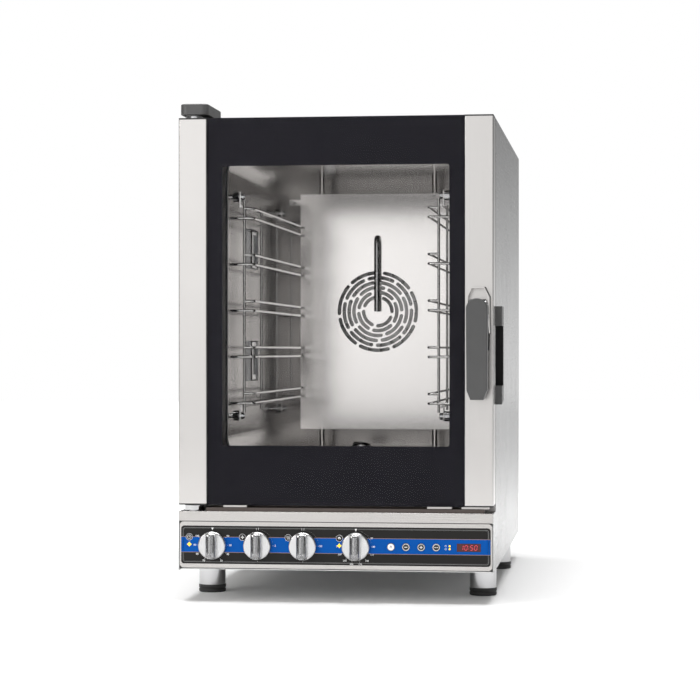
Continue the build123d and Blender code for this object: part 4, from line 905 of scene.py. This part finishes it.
def make_foot_pads():
    """Moulded rubber feet: a grip ring under each and a groove round its wall."""
    low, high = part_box("foot_pads")
    height = high[2] - low[2]
    profile = (
        (FOOT_MIDDLE, TREAD),
        (7.5 * MM, TREAD),
        (8.2 * MM, 0.0),
        (12.5 * MM, 0.0),
        (13.2 * MM, TREAD),
        (15.5 * MM, TREAD),
        (16.2 * MM, 0.0),
        (PAD_RADIUS - 2.0 * MM, 0.0),
        (PAD_RADIUS - 0.7 * MM, 0.6 * MM),
        (PAD_RADIUS - 0.2 * MM, 1.8 * MM),
        (PAD_RADIUS, 5.0 * MM),
        (PAD_RADIUS - 0.4 * MM, 5.6 * MM),
        (PAD_RADIUS - 1.3 * MM, 6.0 * MM),
        (PAD_RADIUS - 1.3 * MM, 7.0 * MM),
        (PAD_RADIUS - 0.4 * MM, 7.4 * MM),
        (PAD_RADIUS, 8.0 * MM),
        (PAD_RADIUS, height - 1.2 * MM),
        (PAD_RADIUS - 0.4 * MM, height - 0.4 * MM),
        (PAD_RADIUS - 1.2 * MM, height),
        (FOOT_MIDDLE, height),
    )
    mesh = bmesh.new()
    for x in (low[0] + PAD_RADIUS, high[0] - PAD_RADIUS):
        for y in (low[1] + PAD_RADIUS, high[1] - PAD_RADIUS):
            rows = []
            for reach, z in profile:
                row = []
                for step in range(FOOT_STEPS):
                    turn = 2 * math.pi * step / FOOT_STEPS
                    place = (x + reach * math.cos(turn), y + reach * math.sin(turn), z)
                    row.append(mesh.verts.new(place))
                rows.append(row)
            for lower, upper in zip(rows, rows[1:]):
                for step in range(FOOT_STEPS):
                    after = (step + 1) % FOOT_STEPS
                    mesh.faces.new((lower[step], lower[after], upper[after], upper[step]))
            mesh.faces.new(list(reversed(rows[0])))
            mesh.faces.new(rows[-1])
    bmesh.ops.recalc_face_normals(mesh, faces=mesh.faces[:])
    pads = finish_piece("rubber_feet", mesh, "chassis", FINISH["rubber"], True)
    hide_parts("foot_pads")


POCKET_WALL, POCKET_DEPTH = 3.0 * MM, 39.0 * MM
POCKET_DOWN, POCKET_HEIGHT = 32.4 * MM, 99.3 * MM
POCKET_SKIN, POCKET_OFF = 0.2 * MM, 0.02 * MM
POCKET_RIBS = 7


def make_keeper_shade_lining():
    """A near-black lining of the latch keeper's pocket, painted shade for the recess: back, rear, top and
    bottom walls.
    """
    low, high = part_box("latch_keeper")
    skin, off = POCKET_SKIN, POCKET_OFF
    inner = low[0] + POCKET_WALL + off
    rear = low[1] + POCKET_DEPTH - off
    top = high[2] - POCKET_DOWN - off
    bottom = top - POCKET_HEIGHT + 2 * off
    front, outer = low[1] + 0.2 * MM, high[0] - 0.3 * MM
    # painted shade: near-black sheets and ribs inside the pocket stand in for the shade of the recess
    mesh = bmesh.new()
    add_slab(mesh, (inner, inner + skin), (front, rear), (bottom, top))
    add_slab(mesh, (inner + skin, outer), (rear - skin, rear), (bottom, top))
    add_slab(mesh, (inner + skin, outer), (front, rear - skin), (bottom, bottom + skin))
    add_slab(mesh, (inner + skin, outer), (front, rear - skin), (top - skin, top))
    for step in range(POCKET_RIBS):
        z = bottom + (top - bottom) * (step + 0.5) / POCKET_RIBS
        add_slab(mesh, (inner + skin, outer), (rear - 3 * skin, rear - skin), (z - skin, z + skin))
    finish_piece("keeper_painted_shade_lining", mesh, "chassis", FINISH["pocket"])


def add_slab(mesh, xs, ys, zs):
    """A thin sheet over three ranges, with its edges eased."""
    corners = [mesh.verts.new((x, y, z)) for x in xs for y in ys for z in zs]
    before = set(mesh.edges)
    for quad in ((0, 1, 3, 2), (4, 6, 7, 5), (0, 4, 5, 1), (2, 3, 7, 6), (0, 2, 6, 4), (1, 5, 7, 3)):
        mesh.faces.new([corners[corner] for corner in quad])
    thin = min(b - a for a, b in (xs, ys, zs))
    edges = [edge for edge in mesh.edges if edge not in before]
    bmesh.ops.bevel(mesh, geom=edges, offset=thin * 0.25, segments=2, affect="EDGES")


HOOD_LINE_OUT, HOOD_LINE_IN = 1.0 * MM, 0.6 * MM
HOOD_CHAMFER = 8.0 * MM


def make_sill_shadow_and_hood_seal():
    """A black slab in the gap under the sill as painted shadow, and a black outline around the handle's
    hood.
    """
    sill_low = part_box("front_sill")[0]
    fascia_low, fascia_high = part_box("control_fascia")
    mesh = bmesh.new()
    # painted shadow: a near-black slab filling the gap between the fascia's top and the sill's underside
    deep = (sill_low[1] - 0.06 * MM, sill_low[1] + MM)
    high_low = (fascia_high[2], sill_low[2] + 0.7 * MM)
    add_slab(mesh, (fascia_low[0], fascia_high[0]), deep, high_low)
    finish_piece("sill_painted_shadow", mesh, "chassis", FINISH["pocket"])

    low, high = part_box("handle_bracket")
    loops = []
    for out in (HOOD_LINE_OUT, -HOOD_LINE_IN):
        x0, x1, z0, z1 = low[0] - out, high[0] + out, low[2] - out, high[2] + out
        shoulder = z1 - 2 * HOOD_CHAMFER
        foot = [(x0, z0), (x1, z0)]
        head = [(x1, shoulder), (x1 - HOOD_CHAMFER, z1), (x0 + HOOD_CHAMFER, z1), (x0, shoulder)]
        loops.append(foot + head)
    mesh = bmesh.new()
    add_outline(mesh, loops, high[1] - INK)
    finish_piece("hood_seal", mesh, "door", FINISH["dark"])


# ------------------------------------------------------------------ back louvres
LOUVRE_SPREAD, LOUVRE_PITCH, LOUVRE_COUNT = 144.0 * MM, 14.0 * MM, 9
LOUVRE_MIDDLE = 489.0 * MM
HOOD_STEPS, HOOD_PARTS = 24, 6


def make_louvres():
    """Pressed hoods over the motor's cooling slots in the back panel."""
    low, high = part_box("back_panel")
    back = high[1]
    centre_x = (low[0] + high[0]) / 2
    half_length, half_height, rise = 46.0 * MM, 4.6 * MM, 4.0 * MM
    mesh = bmesh.new()
    for column in (-LOUVRE_SPREAD / 2, LOUVRE_SPREAD / 2):
        for row in range(LOUVRE_COUNT):
            z0 = LOUVRE_MIDDLE + (row - (LOUVRE_COUNT - 1) / 2) * LOUVRE_PITCH
            grid = []
            for step in range(HOOD_STEPS + 1):
                share = 2 * step / HOOD_STEPS - 1
                line = []
                for part in range(HOOD_PARTS + 1):
                    up = part / HOOD_PARTS
                    swell = (1 - abs(share) ** 4) ** 0.5 * math.sin(math.pi / 2 * (1 - up)) ** 0.7
                    place = (
                        centre_x + column + share * half_length,
                        back + 0.1 * MM + rise * swell,
                        z0 - half_height + 2 * half_height * up,
                    )
                    line.append(mesh.verts.new(place))
                grid.append(line)
            for near, far in zip(grid, grid[1:]):
                for part in range(HOOD_PARTS):
                    mesh.faces.new((near[part], near[part + 1], far[part + 1], far[part]))
    bmesh.ops.solidify(mesh, geom=mesh.faces[:], thickness=-0.7 * MM)
    bmesh.ops.recalc_face_normals(mesh, faces=mesh.faces[:])
    finish_piece("back_louvres", mesh, "chassis", FINISH["plain_sheet"], True)


print_band()
print_scales()
print_icons()
make_lamp_lenses()
make_digits()
print_buttons()
for knob_name, knob_place in KNOBS.items():
    make_knob_grip(knob_name, knob_place)
make_gasket()
make_foot_pads()
make_keeper_shade_lining()
make_sill_shadow_and_hood_seal()
make_louvres()


# ------------------------------------------------------------------ studio and camera
FLOOR_REACH = 14.0
GLOW_NEAR, GLOW_FAR = 0.55, 1.7
GLOW_SEEN, GLOW_CAST = 0.85, 0.35  # seen straight on, and cast on the oven


def studio_paper():
    """White matt paper that glows away from the oven, so it meets the background evenly."""
    material, tree, shader = start_material("studio paper", Roughness=0.9)
    shader.inputs["Specular IOR Level"].default_value = 0.05
    fibres = use_group(tree, SMUDGE, Size=3.0, Sharpness=0.4)
    tone = mix_colour(tree, fibres.outputs["Mark"], (0.90, 0.90, 0.90), (0.89, 0.89, 0.89))
    tree.links.new(tone, shader.inputs["Base Color"])
    place = node(tree, "ShaderNodeTexCoord")
    reach = node(tree, "ShaderNodeVectorMath", {"operation": "LENGTH"})
    glow = node(
        tree,
        "ShaderNodeMapRange",
        {"clamp": True},
        From_Min=GLOW_NEAR,
        From_Max=GLOW_FAR,
        To_Min=0.02,
    )
    tree.links.new(place.outputs["Object"], reach.inputs[0])
    tree.links.new(reach.outputs["Value"], glow.inputs["Value"])
    rays = node(tree, "ShaderNodeLightPath")
    seen = spread(tree, rays.outputs["Is Camera Ray"], GLOW_CAST, GLOW_SEEN)
    tree.links.new(
        math_node(tree, "MULTIPLY", glow.outputs["Result"], seen), shader.inputs["Emission Color"]
    )
    shader.inputs["Emission Strength"].default_value = 1.0
    return material


def make_floor():
    """The studio floor: one flat round sheet."""
    mesh = bmesh.new()
    bmesh.ops.create_circle(mesh, cap_ends=True, segments=96, radius=FLOOR_REACH)
    data = bpy.data.meshes.new("studio_floor")
    mesh.to_mesh(data)
    mesh.free()
    data.materials.append(studio_paper())
    floor = bpy.data.objects.new("studio_floor", data)
    bpy.context.scene.collection.objects.link(floor)


def add_softbox(name, place, aim, size, power, tint=(1.0, 1.0, 1.0)):
    """A rectangular lamp that faces a point."""
    light = bpy.data.lights.new(name, "AREA")
    light.shape = "RECTANGLE"
    light.size, light.size_y = size
    light.energy = power
    light.color = tint
    lamp = bpy.data.objects.new(name, light)
    lamp.location = place
    lamp.rotation_euler = (Vector(aim) - Vector(place)).to_track_quat("-Z", "Y").to_euler()
    bpy.context.scene.collection.objects.link(lamp)


def set_world():
    """Studio surroundings: a broad front screen, brighter to the left, a white
    background behind the oven that darkens upwards, and dim sides."""
    world = bpy.data.worlds.new("studio")
    bpy.context.scene.world = world
    world.use_nodes = True
    tree = world.node_tree
    background = next(n for n in tree.nodes if n.type == "BACKGROUND")
    place = node(tree, "ShaderNodeTexCoord")
    split = node(tree, "ShaderNodeSeparateXYZ")
    tree.links.new(place.outputs["Generated"], split.inputs[0])

    def band(axis, start, end, low, high):
        made = node(
            tree,
            "ShaderNodeMapRange",
            {"clamp": True, "interpolation_type": "SMOOTHSTEP"},
            From_Min=start,
            From_Max=end,
            To_Min=low,
            To_Max=high,
        )
        tree.links.new(split.outputs[axis], made.inputs["Value"])
        return made.outputs["Result"]

    front = math_node(tree, "MULTIPLY", band("Y", -0.93, -0.62, 1.0, 0.0), band("Z", 0.30, 0.75, 1.0, 0.35))
    front = math_node(tree, "MULTIPLY", front, band("X", -0.20, 0.0, 1.55, 0.97))
    back = math_node(tree, "MULTIPLY", band("Y", 0.35, 0.85, 0.0, 1.0), band("Z", -0.05, 0.12, 0.95, 0.13))
    top = band("Z", 0.65, 0.95, 0.0, 0.45)
    total = math_node(tree, "ADD", math_node(tree, "ADD", front, back), math_node(tree, "ADD", top, 0.17))
    rays = node(tree, "ShaderNodeLightPath")
    seen = node(tree, "ShaderNodeMix", {"data_type": "FLOAT"})
    tree.links.new(rays.outputs["Is Camera Ray"], seen.inputs["Factor"])
    tree.links.new(total, seen.inputs[2])
    seen.inputs[3].default_value = 1.0
    tree.links.new(seen.outputs[0], background.inputs["Color"])
    background.inputs["Strength"].default_value = 1.0


CAMERA_RIGHT = 0.7336  # of the door's left edge
CAMERA_BACK = 3.6209  # from the door's face
CAMERA_HEIGHT = 0.415
CAMERA_TURN = math.radians(7.0576)
CAMERA_LENS = 114.68
CAMERA_SENSOR = 36.0

panel_low, panel_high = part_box("left_side_panel")
glass_low, glass_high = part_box("outer_glass")


def add_camera():
    """A long lens, low and a little to the right of the oven."""
    data = bpy.data.cameras.new("camera")
    data.lens = CAMERA_LENS
    data.sensor_width = CAMERA_SENSOR
    camera = bpy.data.objects.new("camera", data)
    camera.location = (panel_low[0] + CAMERA_RIGHT, glass_low[1] - CAMERA_BACK, CAMERA_HEIGHT)
    camera.rotation_euler = (math.pi / 2, 0.0, CAMERA_TURN)
    bpy.context.scene.collection.objects.link(camera)
    bpy.context.scene.camera = camera


TOP_PLACE, TOP_SIZE, TOP_POWER = (0.0, -0.3, 3.6), (2.6, 2.6), 190.0
LEFT_PLACE, LEFT_SIZE, LEFT_POWER = (-2.6, -2.6, 1.9), (1.0, 1.4), 40.0
WARM = (1.0, 0.985, 0.96)

bpy.context.scene.view_settings.view_transform = "Standard"
add_camera()
make_floor()
set_world()
add_softbox("top_box", TOP_PLACE, (0.0, 0.0, 0.0), TOP_SIZE, TOP_POWER)
add_softbox("left_box", LEFT_PLACE, (0.0, 0.0, 0.5), LEFT_SIZE, LEFT_POWER, WARM)
